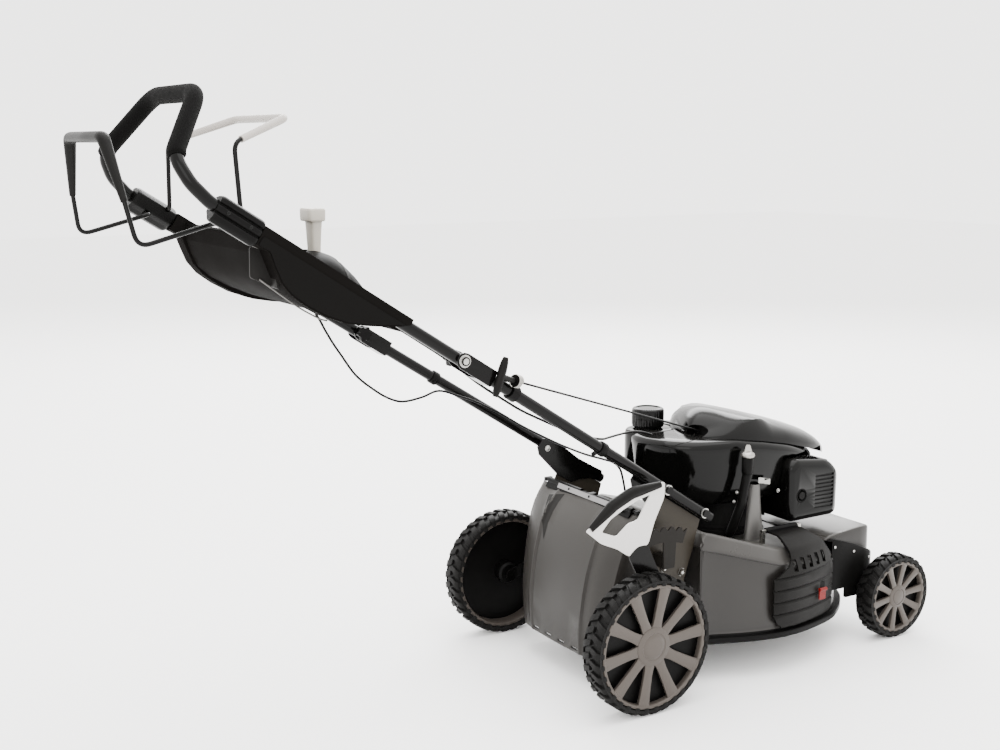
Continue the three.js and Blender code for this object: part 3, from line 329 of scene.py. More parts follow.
def revolve(profile, origin, axis, sides=48):
    """profile is a list of (radius, distance along axis); a radius of 0 closes the end."""
    axis = Vector(axis).normalized()
    side = axis.orthogonal().normalized()
    other = axis.cross(side)
    origin = Vector(origin)
    rings = []
    for radius, height in profile:
        radius = max(radius, 0.01)
        rings.append([tuple(origin + axis * height + side * (radius * math.cos(t)) + other
            * (radius * math.sin(t))) for t in (2 * math.pi * i / sides for i in range(sides))])
    whole = profile[0] == profile[-1]
    if whole:
        rings[-1] = rings[0]
    return loft(rings, True, not whole, not whole)


def sweep(points, radius, sides=20, caps=True, flat=None):
    """A bar along points. radius is a number or a function of the fraction along. flat squeezes
    the section along x."""
    path = [Vector(p) for p in points]
    lengths = [0.0]
    for a, b in zip(path, path[1:]):
        lengths.append(lengths[-1] + (b - a).length)
    tangents = []
    for i in range(len(path)):
        before, after = path[max(i - 1, 0)], path[min(i + 1, len(path) - 1)]
        tangents.append((after - before).normalized())
    up = tangents[0].orthogonal().normalized()
    if abs(tangents[0].x) < 0.99:
        up = (Vector(X_AXIS) - tangents[0] * tangents[0].x).normalized()
    rings = []
    for i, point in enumerate(path):
        if i:
            up = tangents[i - 1].rotation_difference(tangents[i]) @ up
            up = (up - tangents[i] * up.dot(tangents[i])).normalized()
        side = tangents[i].cross(up)
        size = radius(lengths[i] / lengths[-1]) if callable(radius) else radius
        wide = size * (flat(lengths[i] / lengths[-1]) if flat else 1)
        rings.append([tuple(point + up * (wide * math.cos(t)) + side * (size * math.sin(t)))
            for t in (2 * math.pi * k / sides for k in range(sides))])
    return loft(rings, True, caps, caps)


def prism(loops, low, high, plane="x"):
    """Loops of (u, v), first the outline and then any holes, filled between two depths."""
    flat = [p for loop in loops for p in loop]
    triangles = geometry.tessellate_polygon([[Vector((u, v, 0)) for u, v in loop]
        for loop in loops])

    def at(p, d):
        u, v = p
        return {"x": (d, u, v), "y": (u, d, v), "z": (u, v, d)}[plane]
    count = len(flat)
    verts = [at(p, low) for p in flat] + [at(p, high) for p in flat]
    faces = [list(t) for t in triangles] + [[i + count for i in reversed(t)] for t in triangles]
    start = 0
    for loop in loops:
        n = len(loop)
        for i in range(n):
            j = (i + 1) % n
            faces.append([start + i, start + j, start + j + count, start + i + count])
        start += n
    return verts, faces


def block(x0, x1, y0, y1, z0, z1):
    return prism([[(y0, z0), (y1, z0), (y1, z1), (y0, z1)]], x0, x1)


def bend(a, b, c, reach, steps):
    """Points of the curve that cuts the corner b between a and c."""
    start = b + (a - b).normalized() * reach
    end = b + (c - b).normalized() * reach
    return [tuple(start * (1 - t) ** 2 + b * 2 * t * (1 - t) + end * t * t)
        for t in (k / steps for k in range(steps + 1))]


def rounded(corners, radius, steps=8):
    """Corner points, with each bend replaced by a smooth arc."""
    at = [Vector(p) for p in corners]
    out = [tuple(at[0])]
    for a, b, c in zip(at, at[1:], at[2:]):
        back, on = a - b, c - b
        half = (math.pi - back.angle(on)) / 2
        reach = min(radius * math.tan(half), 0.48 * back.length, 0.48 * on.length)
        out += bend(a, b, c, reach, steps)
    out.append(tuple(at[-1]))
    return out


def softened(loop, radius, steps=3):
    """A closed outline with rounded corners."""
    at = [Vector(p) for p in loop]
    out = []
    for i, b in enumerate(at):
        a, c = at[i - 1], at[(i + 1) % len(at)]
        out += bend(a, b, c, min(radius, 0.45 * (a - b).length, 0.45 * (c - b).length), steps)
    return out


def slab(corners, radius, low, high):
    """A plate between two depths along x, its outline with rounded corners."""
    return prism([softened(corners, radius)], low, high)


def through(points, steps=6):
    """A smooth curve through points (Catmull-Rom)."""
    at = [Vector(p) for p in points]
    at = [at[0] * 2 - at[1], *at, at[-1] * 2 - at[-2]]
    out = []
    for a, b, c, d in zip(at, at[1:], at[2:], at[3:]):
        for k in range(steps):
            t = k / steps
            out.append(tuple(0.5 * (b * 2 + (c - a) * t + (a * 2 - b * 5 + c * 4 - d) * t * t
                + (b * 3 - a - c * 3 + d) * t ** 3)))
    out.append(tuple(at[-2]))
    return out


def swell(size, start, rate, base=0):
    """A radius along a sleeve: it grows from both ends at this rate, up to its full size."""
    return lambda t: base + size * min(1, start + rate * t, start + rate * (1 - t))


def mirror_path(half):
    return list(half) + [(-x, y, z) for x, y, z in reversed(half)]


def table(rows, key):
    """Linear interpolation in a list of (key, value)."""
    if key <= rows[0][0]:
        return rows[0][1]
    for (a, u), (b, v) in zip(rows, rows[1:]):
        if key <= b:
            return u + (v - u) * (key - a) / (b - a)
    return rows[-1][1]


def bolt(centre, axis, radius, height=4.0, washer=True):
    """A domed head, standing along axis, with or without a washer."""
    form = Shape()
    if washer:
        form.add(revolve([(0, 0), (radius * 1.35, 0), (radius * 1.35, 1.1), (0, 1.2)], centre,
            axis, 32))
    top = height + 1
    form.add(revolve([(0, 1), (radius, 1), (radius * 0.97, top * 0.5), (radius * 0.75, top * 0.82),
        (radius * 0.4, top), (0, top + 0.2)], centre, axis, 28))
    return form.verts, form.faces


def bolts(name, spots, body, material=None, **keys):
    """One piece of several bolts, each given as (centre, axis, radius)."""
    heads = [bolt(centre, axis, radius, **keys) for centre, axis, radius in spots]
    return piece(name, Shape(*heads), material or ZINC, body, sharp=35)


def carve(obj, forms):
    """Cuts forms out of obj for good. Both have to be closed for the exact solver."""
    for form in forms:
        mesh = bpy.data.meshes.new("cutter")
        mesh.from_pydata([place(v) for v in form[0]], [], form[1])
        tidied(mesh, WELD)
        tool = linked("cutter", mesh)
        cut = obj.modifiers.new("cut", "BOOLEAN")
        cut.operation = "DIFFERENCE"
        cut.solver = "EXACT"
        cut.object = tool
        bpy.context.view_layer.update()
        result = bpy.data.meshes.new_from_object(obj.evaluated_get(
            bpy.context.evaluated_depsgraph_get()))
        obj.modifiers.remove(cut)
        obj.data = result
        bpy.data.objects.remove(tool)
    obj.data.shade_smooth()
    obj.data.set_sharp_from_angle(angle=math.radians(35))


# ---- wheels
TREAD = 5.5
SPOKES, SPOKE_TURN = 10, 0.11


def tyre_shape(radius, width, face, seat):
    """Outer tyre: rounded carcass and two rows of slanting lugs that wrap over the shoulders."""
    inner = face - width
    base = radius - TREAD
    shape = Shape()
    profile = [(seat, inner + 5), (seat + 3, inner + 1), (seat + 8, inner), (base - 7, inner + 1),
        (base - 2, inner + 5), (base, inner + 10), (base, face - 10), (base - 2, face - 5),
        (base - 7, face - 1), (seat + 8, face), (seat + 3, face - 0.6), (seat + 0.4, face - 3),
        (seat, face - 6), (seat, inner + 5)]
    shape.add(revolve(profile, (0, 0, 0), X_AXIS, 96))
    count = 34 if radius > 120 else 26
    for i in range(count):
        for side in (-1, 1):
            turn = 2 * math.pi * (i + (0.5 if side > 0 else 0)) / count
            shape.add(lug(radius, base, inner, face, side, turn, math.pi / count))
    return shape


def lug(radius, base, inner, face, side, turn, half):
    """One tread block: from near the middle, slanting over the shoulder on to the side wall."""
    middle = (inner + face) / 2
    edge = face if side > 0 else inner
    rings = []
    # how far out, the top's drop, the foot's depth, slant, half width
    for along, drop, depth, lean, reach in ((0.04, 0, 1, -0.25, 0.42), (0.45, 0, 1, 0.0, 0.5),
            (0.80, 0.4, 3, 0.28, 0.56), (0.965, 4.5, 8, 0.36, 0.5), (1.0, 11, 12, 0.38, 0.34)):
        x, top, floor = middle + (edge - middle) * along, radius - drop, base - depth
        ring = []
        for r, w in ((floor, reach * 1.1), (top, reach), (top, -reach), (floor, -reach * 1.1)):
            a = turn + half * (lean * 1.2 + w)
            ring.append((x, r * math.cos(a), r * math.sin(a)))
        rings.append(ring)
    return loft(rings)


def rim_shape(rim, face, width):
    """Hub cover: spokes that widen outwards, a raised centre, a ring, and a web behind in black
    plastic, painted shade between the spokes.
    """
    shape = Shape()
    inner = face - width
    shape.add(revolve([(rim - 9, face - 8), (rim - 8.5, face - 3.2), (rim - 7, face - 1.4),
        (rim - 4, face - 0.8), (rim - 1.5, face - 1.6), (rim - 0.4, face - 4),
        (rim - 0.4, inner + 6), (rim - 6, inner + 6), (rim - 9, inner + 10), (rim - 9, face - 8)],
        (0, 0, 0), X_AXIS, 96))
    hub = rim * 0.31
    shape.add(revolve([(0, face - 9), (hub, face - 9), (hub, face - 5.5), (hub * 0.86, face - 4.0),
        (hub * 0.72, face - 3.4), (hub * 0.70, face - 4.2), (hub * 0.64, face - 4.2),
        (hub * 0.60, face - 3.0), (hub * 0.42, face - 2.1), (hub * 0.2, face - 1.7),
        (0, face - 1.6)], (0, 0, 0), X_AXIS, 64))
    for i in range(SPOKES):
        turn = 2 * math.pi * i / SPOKES + SPOKE_TURN
        stations = [(hub * 0.85, 0.105, 6.4), (hub * 1.15, 0.088, 5.6), (rim * 0.45, 0.082, 5.4),
            (rim * 0.62, 0.088, 4.4), (rim * 0.8, 0.098, 3.2), (rim - 7.5, 0.112, 1.9)]
        rings = []
        for radius, half, drop in stations:
            wide = half * rim
            ring = []
            for t, d in ((-1, 4.0), (-0.96, 1.2), (-0.8, 0.25), (0, 0), (0.8, 0.25), (0.96, 1.2),
                    (1, 4.0), (0.9, 8), (-0.9, 8)):
                x = face - drop - d
                u, v = radius, t * wide
                ring.append((x, u * math.cos(turn) - v * math.sin(turn),
                    u * math.sin(turn) + v * math.cos(turn)))
            rings.append(ring)
        shape.add(loft(rings))
    # The web behind the spokes is the same plastic as the spokes; it takes black plastic as
    # painted shade in the gaps.
    shape.add(revolve([(8.7, inner + 1), (20, inner + 1), (24, inner + 6), (24, face - 24),
        (rim * 0.5, face - 20), (rim - 10, face - 18), (rim - 8.6, face - 12),
        (rim - 8.6, face - 21), (rim * 0.5, face - 24), (28, face - 28), (8.7, face - 28),
        (8.7, inner + 1)], (0, 0, 0), X_AXIS, 64), slot=1)
    return shape


def wheel(side_name, y, radius, width, face, rim):
    """Tyre and hub cover, with the outer face at x = face and the axle at y."""
    body = side_name + "_wheel"
    for part, shape in (("tyre", tyre_shape(radius, width, face, rim + 0.3)),
            ("rim", rim_shape(rim, face, width))):
        if side_name.endswith("left"):
            shape = shape.flipped()
        shape.verts = [(x, v + y, w + radius) for x, v, w in shape.verts]
        if part == "tyre":
            piece(side_name + "_tyre_fine", shape, RUBBER, body, bevel=0.6, steps=1, sharp=50,
                stands_for=[side_name + "_tyre"])
        else:
            # slot 1, the web behind the spokes, is black plastic as painted shade
            piece(side_name + "_hub_cover", shape, [HUB, PLASTIC], body, sharp=38,
                stands_for=[side_name + "_rim"])


for side in ("right", "left"):
    wheel("rear_" + side, y=0, radius=140, width=55, face=295, rim=126.2)
for side in ("right", "left"):
    wheel("front_" + side, y=732, radius=95.4, width=47, face=255, rim=82.4)


# ---- deck
DECK_EDGE = [(0, 172), (80, 172), (150, 172), (190, 172), (205, 173), (213, 178), (218, 186),
    (226, 215), (246, 262), (263, 315), (272, 375), (268, 436), (249, 520), (222, 570), (190, 612),
    (150, 650), (100, 676), (50, 690), (0, 694)]
SIDE_ROD_X, SIDE_ROD_Z = 174, 284
# (y, z) along the top
DECK_TOP = [(172, 312), (360, 262), (440, 252), (540, 244), (620, 225), (700, 200)]
DECK_MIDDLE = Vector((0, 430))
SHAFT_Y = 405  # the crankshaft and the blade turn about this line


def deck_outline():
    half = [p[:2] for p in through([(x, y, 0) for x, y in DECK_EDGE], 4)]
    return half + [(-x, y) for x, y in reversed(half[1:-1])]


OUTLINE = deck_outline()


def deck_ring(inset, height):
    """The outline moved inwards, at a height that may be a function of y."""
    out = []
    count = len(OUTLINE)
    for i, p in enumerate(OUTLINE):
        here = Vector(p)
        if inset <= 26:
            way = (Vector(OUTLINE[(i + 1) % count]) - Vector(OUTLINE[i - 1])).normalized()
            move = Vector((-way.y, way.x)) * inset
        else:
            move = (DECK_MIDDLE - here).normalized() * inset
        x, y = here + move
        out.append((x, y, height(here.y) if callable(height) else height))
    return out


def deck_piece():
    """The deck as one closed skin, with its rear and side outlets, and the side cover's rod."""
    top = lambda drop: (lambda y: table(DECK_TOP, y) - drop)
    pad = lambda radius, z: [(radius * math.cos(a), SHAFT_Y + radius * math.sin(a), z)
        for a in (math.atan2(y - SHAFT_Y, x) for x, y in OUTLINE)]
    rings = lambda *rows: [deck_ring(*row) for row in rows]
    inner = [pad(20, 246), pad(101, 246)] + rings((48, top(4)), (26, top(32)), (20, 94), (20, 80))
    lip = rings((1.5, 80), (0, 81.5), (0, 90), (1.5, 92))
    wall = rings((13, 93.5), (15, 96), (16, 108), (19, 170), (22.6, top(33)), (23, top(31)),
        (20.2, top(29.5)), (20.6, top(27)), (26, top(21)))
    crown = rings((38, top(5)), (43, top(1)), (48, top(0))) + [
        pad(106, 251), pad(104, 250), pad(20, 250)]
    shape = Shape()
    # Slot 1 is black plastic, on the underside and on the lip; the lip's black is painted shade.
    shape.add(sleeve(inner + lip[:3]), 1)
    shape.add(sleeve(lip[2:] + wall[:2]), 1)
    shape.add(sleeve(wall[1:] + crown + [inner[0]]), 0)
    deck = piece("deck", shape, [DECK, PLASTIC], "mower", sharp=32, stands_for=["deck_shell"])
    carve(deck, [block(-120, 120, 150, 228, 185, 272), block(200, 300, 375, 510, 104, 204)])
    rod = Shape(sweep([(SIDE_ROD_X, y, SIDE_ROD_Z) for y in (380, 492)], 3, 16))
    for y in (380, 484):
        rod.add(block(169, 178, y, y + 8, 246, 286))
    piece("side_cover_rod", rod, STEEL, "mower", sharp=35)


deck_piece()


def front_cover():
    """The raised plate over the front axle, hollow over the cutting chamber, and its arms."""
    plan = [(0, 561), (187, 561), (193, 566), (196, 574), (197.4, 606), (197.4, 640), (196.8, 670),
        (195.4, 692), (191, 702), (184, 706), (120, 710.5), (60, 713.5), (0, 715)]

    def ring(inset, height):
        half = []
        for x, y in plan:
            u = max(0.0, x - inset) if x else 0.0
            v = y - min(inset, 4) if y > 640 else y
            half.append((u, v, height(v)))
        return half + [(-x, y, z) for x, y, z in reversed(half[1:-1])]

    ridge = lambda y: table([(561, 236), (575, 247), (630, 252), (683, 255), (697, 252),
        (715, 244)], y)
    edge = lambda y: table([(557, 229), (570, 243), (608, 231), (644, 219), (699, 196),
        (717, 176)], y)
    under = lambda y: edge(y) - 3
    shape = Shape()
    shape.add(loft([ring(0, lambda y: 122), ring(0, lambda y: 150), ring(0, under),
        ring(0.6, lambda y: edge(y) - 1), ring(2.4, edge)], end_cap=False), 1)
    shape.add(sleeve([ring(2.4, edge), ring(9, under)]), 1)
    shape.add(loft([ring(9, under), ring(9.4, lambda y: max(edge(y), ridge(y) - 5)),
        ring(11, lambda y: max(edge(y) + 1, ridge(y) - 1.5)),
        ring(15, ridge)], start_cap=False), 0)
    cover = piece("front_cover_fine", shape, [DECK, PLASTIC], "mower", sharp=32,
        stands_for=["front_cover"])
    chamber = revolve([(0, 60), (258, 60), (258, 236), (0, 236)], (0, SHAFT_Y, 0), Z_AXIS, 72)
    carve(cover, [chamber, block(-190, 190, 640, 704, 100, 182)])
    arms = Shape(slab([(619, 190), (645, 195), (691, 160), (691, 113), (660, 97), (619, 97)],
        5, 191, 195.6)).mirror()
    piece("front_cover_arms", arms, PLASTIC, "mower", bevel=0.8, sharp=35)
    bolts("front_cover_bolts", [((s * 197, y, z), (s, 0, 0), 3.4) for s in (-1, 1)
        for y, z in ((580, 222), (640, 203), (690, 182))], "mower", height=1.8, washer=False)


front_cover()
refine("chute_cover", PLASTIC, bevel=0.8)


# ---- rear door
# z, half width, and y in the middle and at the corner
DOOR_STATIONS = [
    (62, 155, -36, -20), (66, 158, -38, -22), (110, 161, -39, -23), (150, 164, -38, -22),
    (195, 167, -33, -17), (235, 170, -26, -10), (270, 173, -17, -2), (300, 176, -8, 6),
    (325, 177, 5, 16), (345, 178, 20, 28), (358, 178, 33, 37), (366, 178, 42, 44)]

DOOR_ROD = (50, 372)  # (y, z)


def door_profile(z, half, centre, corner):
    """The outer face from near the corner to near the middle, as (x, y)."""
    ridge = 3.5 * math.sin(math.pi * (z - 62) / 304) ** 0.5 if 62 < z < 366 else 0
    return [(half * 0.9, corner + 2), (half * 0.8, centre + 8), (half * 0.68, centre + 5),
        (half * 0.60, centre + 3.2), (half * 0.575, centre + 1.2 - ridge),
        (half * 0.55, centre + 1 - ridge), (half * 0.525, centre + 2), (half * 0.3, centre + 0.8)]


def door_y(x, z):
    """How far back the door's outer face is at a distance x from its middle."""
    half, middle, corner = (table([(s[0], s[i]) for s in DOOR_STATIONS], z) for i in (1, 2, 3))
    return table([(0, middle)] + door_profile(z, half, middle, corner)[::-1], x)


def double_skin(rings):
    """A loft of rings that run out along one skin and back along the other, closed at its ends."""
    verts, faces = sleeve(rings)
    count = len(rings[0])
    for start in (0, (len(rings) - 1) * count):
        for i in range(count // 2 - 1):
            faces.append([start + i, start + i + 1, start + count - 2 - i, start + count - 1 - i])
    return verts, faces


def rear_door():
    """The ribbed door, its hinge leaves, the ledge that lies on it, and a dark patch of painted
    shade beside its ridge.
    """
    rings = []
    for z, half, centre, corner in DOOR_STATIONS:
        right = [(half, 52), (half, corner + 26), (half - 1.5, corner + 13),
            (half - 6, corner + 6)] + door_profile(z, half, centre, corner)
        outer = right + [(0, centre)] + [(-x, y) for x, y in reversed(right)]
        inner = []
        for x, y in outer:
            inner.append((x - math.copysign(4, x) if abs(x) > half * 0.85 else x,
                y + 4 if y < 50 else y))
        rings.append([(x, min(y, 52), z) for x, y in outer + list(reversed(inner))])
    shape = Shape(double_skin(rings))
    door = piece("rear_door_panel", shape, DOOR, "rear_flap", sharp=30, stands_for=["rear_door"])
    slots = [block(x - 11, x + 11, -60, 10, 70, 74) for x in (-72, -24, 24, 72)]
    carve(door, slots)
    fittings = Shape()
    for a, b in ((-150, -30), (30, 150)):
        fittings.add(revolve([(4.2, a), (7, a), (7, b), (4.2, b), (4.2, a)], (0, *DOOR_ROD),
            X_AXIS, 24))
        fittings.add(slab([(37, 359), (45, 372), (51, 378), (55, 374), (54, 366),
            (45, 359)], 2, a, b))
    door_fittings = piece("rear_door_hinge_leaves", fittings, PLASTIC, "rear_flap", sharp=35)
    carve(door_fittings, [sweep([(-200, *DOOR_ROD), (200, *DOOR_ROD)], 4.2, 24),
        block(-9, 9, 42, 70, 360, 382)])
    rows = []  # of the dark patch of painted shade, held just off the panel
    for k in range(13):
        left = Vector((-121, 349)).lerp(Vector((-77, 267)), k / 12)
        right = Vector((-72, 360)).lerp(Vector((-75, 267)), k / 12)
        row = []
        for i in range(7):
            x, z = left.lerp(right, i / 6)
            row.append((x, door_y(abs(x), z) - 0.5, z))
        rows.append(row)
    # the dark patch is painted shade, not a part of the door
    piece("rear_door_painted_shade", Shape(sheet(rows)), DOOR_PAINTED_SHADE, "rear_flap", sharp=60)
    ledge = Shape(sheet([[(x, 37.6, 367.2), (x, 38.4, 369.4), (x, 42.0, 377.2)]
        for x in range(-104, 129, 8)]))
    piece("rear_door_ledge", ledge, LEDGE, "rear_flap", sharp=60)
    bolts("rear_door_ledge_holes", [((x, 39.6, 372.6), (0, -0.9, 0.43), 2.8)
        for x in (-62, 12, 84)], "rear_flap", PLASTIC, height=0.4, washer=False)


rear_door()


# ---- side cover
def side_cover():
    """The grooved cover over the side outlet, with its slits, lining, hinge and latch well."""
    rows = [(338, -2.6), (342, -2), (375, 0), (400, 0), (425, -3), (450, -7), (470, -12),
        (492, -18), (510, -24), (526, -30.5), (538, -35), (541, -36.4)]
    rings = []
    for y, shift in rows:
        x = 272 + shift
        edge = 2 if y in (338, 541) else 0
        outer = [(178, 283), (x - 66, 282.4), (x - 58, 281), (x - 50, 277), (x - 28, 264),
            (x - 20, 257), (x - 10, 233), (x - 8, 228)]
        for z in (210, 207, 203, 184, 181, 177, 158, 155, 151, 132, 129, 125, 110, 103, 99):
            groove = 3.2 if z in (207, 181, 155, 129) else 0
            outer.append((x - 3 - groove - (2 if z < 100 else 0) - (1 if z > 200 else 0), z))
        outer = [(u - edge, v) for u, v in outer]
        inner = [(u - (3.6 if i > 1 else 0), v - (3.6 if i < 6 else 0))
            for i, (u, v) in enumerate(outer)]
        rings.append([(u, y, v) for u, v in outer + list(reversed(inner))])
    cover = piece("side_cover_shell", Shape(double_skin(rings)), PLASTIC_SOFT, "side_flap",
        sharp=28, stands_for=["side_cover"])
    rear_corner = [(320, 310), (400, 310), (394, 278), (391, 262), (389, 242), (380, 229),
        (358, 217), (343, 209), (336, 206), (320, 206)]
    front_corner = [(472, 310), (560, 310), (560, 213), (530, 213), (530, 231), (506, 264),
        (482, 281)]
    foot_rear = [(320, 130), (338, 128), (345, 112), (356, 104), (362, 90), (320, 90)]
    foot_front = [(560, 110), (541, 112), (530, 102), (524, 90), (560, 90)]
    corners = [prism([loop], 140, 310)
        for loop in (rear_corner, front_corner, foot_rear, foot_front)]
    slits = [prism([[(y, 218), (y + 12, 216), (y + 9, 241), (y - 3, 243)]], 225, 285)
        for y in (392, 417, 442, 467, 492)]
    rooms = [block(150, 190, 330, 391.6, 240, 300), block(150, 190, 480.4, 550, 240, 300)]
    carve(cover, corners + slits + rooms)
    lining = Shape(loft([[(224 + dx, y, z) for dx, z in ((0, 244), (14, 214), (12, 213),
        (-2, 243))] for y in (386, 508)]))
    piece("side_cover_lining", lining, PLASTIC, "side_flap", sharp=35)
    fittings = Shape(revolve([(3.6, 392), (6, 392), (6, 480), (3.6, 480), (3.6, 392)],
        (SIDE_ROD_X, 0, SIDE_ROD_Z), Y_AXIS, 24), block(178, 188, 393, 479, 279.6, 283.2))
    piece("side_cover_hinge_barrel", fittings, PLASTIC, "side_flap", sharp=35)
    bolts("side_cover_screws", [((x, y, 252.5), (0.85, 0, 0.53), 6.0)
        for y, x in ((409, 247), (454, 241))], "side_flap", STEEL_BLACK, height=2.5)
    post = Shape(slab([(447, 130), (495, 138), (495, 176), (452, 176)], 4, 240, 254))
    piece("side_cover_latch_well", post, PLASTIC, "side_flap", bevel=1.2, sharp=35)


side_cover()
latch = Shape(sweep([(262.4, 471, 162), (262.4, 491, 162)], 3.9, 20),
    slab([(472, 139), (490, 139), (490, 161), (472, 161)], 2, 259, 262.2))
piece("side_latch_lever", latch, RED, "side_catch", bevel=0.8, stands_for=["side_latch"])

# ---- side plates and brackets
for side, sign in SIDES:
    refine("side_plate_" + side, BROWN, bevel=0.8)
    refine("handle_bracket_" + side, STEEL_BLACK, bevel=0.6)
    bolts("side_plate_bolts_" + side, [((sign * 175, 113, 248), (sign, 0, 0), 6.2),
        ((sign * 175, 160, 232), (sign, 0, 0), 6.2)], "mower", height=4.6)
    bolts("handle_bolts_" + side, [((sign * (191 + 11.6), 196, 359), (sign, 0, 0), 7.8),
        ((sign * (193.9 + 11.6), 96, 422.5), (sign, 0, 0), 7.8)], "mower", height=5)
refine("lever_quadrant", BROWN_DARK, bevel=0.5)
bolts("bracket_bolt_left", [((-167, 54, 440), X_AXIS, 5)], "mower", height=3)

# ---- axles
# bars as (points, radius), the crank plates' x from and to and half width, the plates' two ends
AXLES = {
    "rear_axle": (
        [([(-234, 75, 165), (234, 75, 165)], 10), ([(-288, 0, 140), (-229, 0, 140)], 8),
         ([(288, 0, 140), (229, 0, 140)], 8)],
        (228, 234, 14), ((75, 165), (0, 140))),
    "front_axle": (
        [([(-248, 732, 95.4), (248, 732, 95.4)], 7), ([(186, 657, 120), (204, 657, 120)], 6),
         ([(-186, 657, 120), (-204, 657, 120)], 6)],
        (201, 206, 11), ((657, 120), (732, 95.4)))}
for name, (bars, (x0, x1, half), (a, b)) in AXLES.items():
    shape = Shape(*(sweep(points, radius, 32) for points, radius in bars))
    way = math.atan2(b[1] - a[1], b[0] - a[0])
    outline = [(end[0] + half * math.cos(way + t), end[1] + half * math.sin(way + t))
        for end, first in ((b, -90), (a, 90))
        for t in (math.radians(d) for d in range(first, first + 181, 15))]
    shape.add(prism([outline], x0, x1)).add(prism([outline], -x1, -x0))
    piece(name + "_fine", shape, STEEL_BLACK, NODE_BODY[name], bevel=0.7, stands_for=[name])

# ---- height lever
hand_hole = [(-92, 372), (-56, 358), (-29, 379), (-4, 384), (12, 412), (26, 431), (-4, 424),
    (-40, 410), (-70, 395)]
plate_edge = [(61, 452), (-19, 446), (-62, 428), (-120, 384), (-128, 379), (-92, 349), (-53, 332),
    (-24, 312), (-6, 322), (22, 330), (37, 375), (60, 420)]
plate = Shape(prism([softened(plate_edge, 7), softened(hand_hole, 6)], 234.6, 237.6))
piece("height_lever_plate", plate, PLATED, "height_axle", bevel=0.5, stands_for=["height_lever"])
shank = Shape(slab([(-26, 313), (-4, 330), (21, 330), (90, 185), (100, 165), (90, 146), (62, 146),
    (50, 168)], 8, 234.0, 238.2))
piece("height_lever_shank", shank, STEEL_BLACK, "height_axle", bevel=0.8)
grip_route = rounded([(236, -117, 381), (236, -64, 421), (236, -20, 440), (236, 50, 447)], 60, 8)
grip = Shape(sweep(grip_route, swell(11.8, 0.55, 6), 24, flat=lambda t: 0.95))
piece("height_lever_handle", grip, PLASTIC_SOFT, "height_axle", stands_for=["height_lever_grip"])

# ---- handle tubes
SLOPE, SPLAY = 0.635, 0.0286  # rise and spread of a lower tube for each millimetre back
TILT = math.atan(SLOPE)
FOLD = (-385, 728)
# (y, z) of the three controls' pivots
DRIVE_PIVOT, BRAKE_PIVOT, SPEED_PIVOT = (-814, 981), (-774, 987), (-575, 872)


def tube_point(run):
    """A point on the right lower tube's middle line, run millimetres behind its foot."""
    return (191 + SPLAY * run, 196 - run, 359 + SLOPE * run)


def on_handle(along, up):
    """(y, z) of a point at a distance past the fold and a height over the tube's middle."""
    return (FOLD[0] - along * math.cos(TILT) + up * math.sin(TILT),
        FOLD[1] + along * math.sin(TILT) + up * math.cos(TILT))


HANDLE_PATH = rounded(mirror_path([(207.3, *on_handle(-13, 0)), (220.8, -839, 1016.2),
    (214, -867, 1046), (196, -886, 1088), (112, -816, 1188)]), 62, 14)

for side, sign in SIDES:
    shape = Shape(sweep([tube_point(-22), tube_point(552)], 11, 40))
    for run in (-22, 552):
        x, y, z = tube_point(run)
        shape.add(revolve([(0, -1.5), (9.6, -1.5), (10.4, 0), (9.2, 1.6), (0, 2)], (x, y, z),
            (0.028, -1, 0.635) if run > 0 else (-0.028, 1, -0.635), 32), 1)
    if sign < 0:
        shape = shape.flipped()
    piece("lower_tube_fine_" + side, shape, [STEEL_BLACK, PLASTIC], "mower",
        stands_for=["lower_tube_" + side])

upper = Shape(sweep(HANDLE_PATH, 11, 36))
piece("upper_tube_fine", upper, STEEL_BLACK, "upper_handle", stands_for=["upper_tube"])
foam_path = [p for p in HANDLE_PATH if p[2] > 1085]
foam = Shape(sweep(foam_path, swell(15.2, 0.86, 25), 36))
piece("foam_sleeve", foam, FOAM, "upper_handle", stands_for=["foam_grip"])

for side, sign in SIDES:
    refine("fold_clevis_" + side, STEEL_BLACK, bevel=0.7)
    knob = Shape()
    ring = []
    for i in range(48):
        a = 2 * math.pi * i / 48
        ring.append((FOLD[0] + (14 + 2.2 * math.cos(6 * a)) * math.cos(a),
            FOLD[1] + (14 + 2.2 * math.cos(6 * a)) * math.sin(a)))
    knob.add(prism([ring], sign * 172, sign * 184))
    knob.add(revolve([(0, 0), (8, 0), (9, 6), (7, 9), (0, 9.4)], (sign * 184, *FOLD), (sign, 0, 0),
        24))
    piece("fold_knob_" + side, knob, PLASTIC, "mower", bevel=1.5, steps=3, sharp=35)
    bolts("fold_bolt_" + side, [((sign * 223.8, *FOLD), (sign, 0, 0), 8.6)], "mower", height=5)

# ---- bails
DRIVE_PATH = rounded(mirror_path([(203, *DRIVE_PIVOT), (166, *DRIVE_PIVOT), (172, -941, 947),
    (154, -954, 1020), (102, -967, 1117)]), 20, 8)
BRAKE_PATH = rounded(mirror_path([
    (203, *BRAKE_PIVOT), (181, *BRAKE_PIVOT), (167, -777, 1108), (116, -666, 1149)]), 24, 8)
for control, path in (("drive", DRIVE_PATH), ("brake", BRAKE_PATH)):
    piece(control + "_bail_rod", Shape(sweep(path, 4, 20)), STEEL_BLACK, control + "_control",
        stands_for=[control + "_bail"])
for control, path, lowest, radius, flat, finish in (
        ("drive", DRIVE_PATH, 1016, swell(6.2, 0, 3.4, base=5.6), lambda t: 0.78, PLASTIC_SOFT),
        ("brake", BRAKE_PATH, 1113, swell(6.9, 0.85, 30), None, WHITE)):
    grip = Shape(sweep([p for p in path if p[2] > lowest], radius, 28, flat=flat))
    piece(control + "_bail_sleeve", grip, finish, control + "_control",
        stands_for=[control + "_bail_grip"])


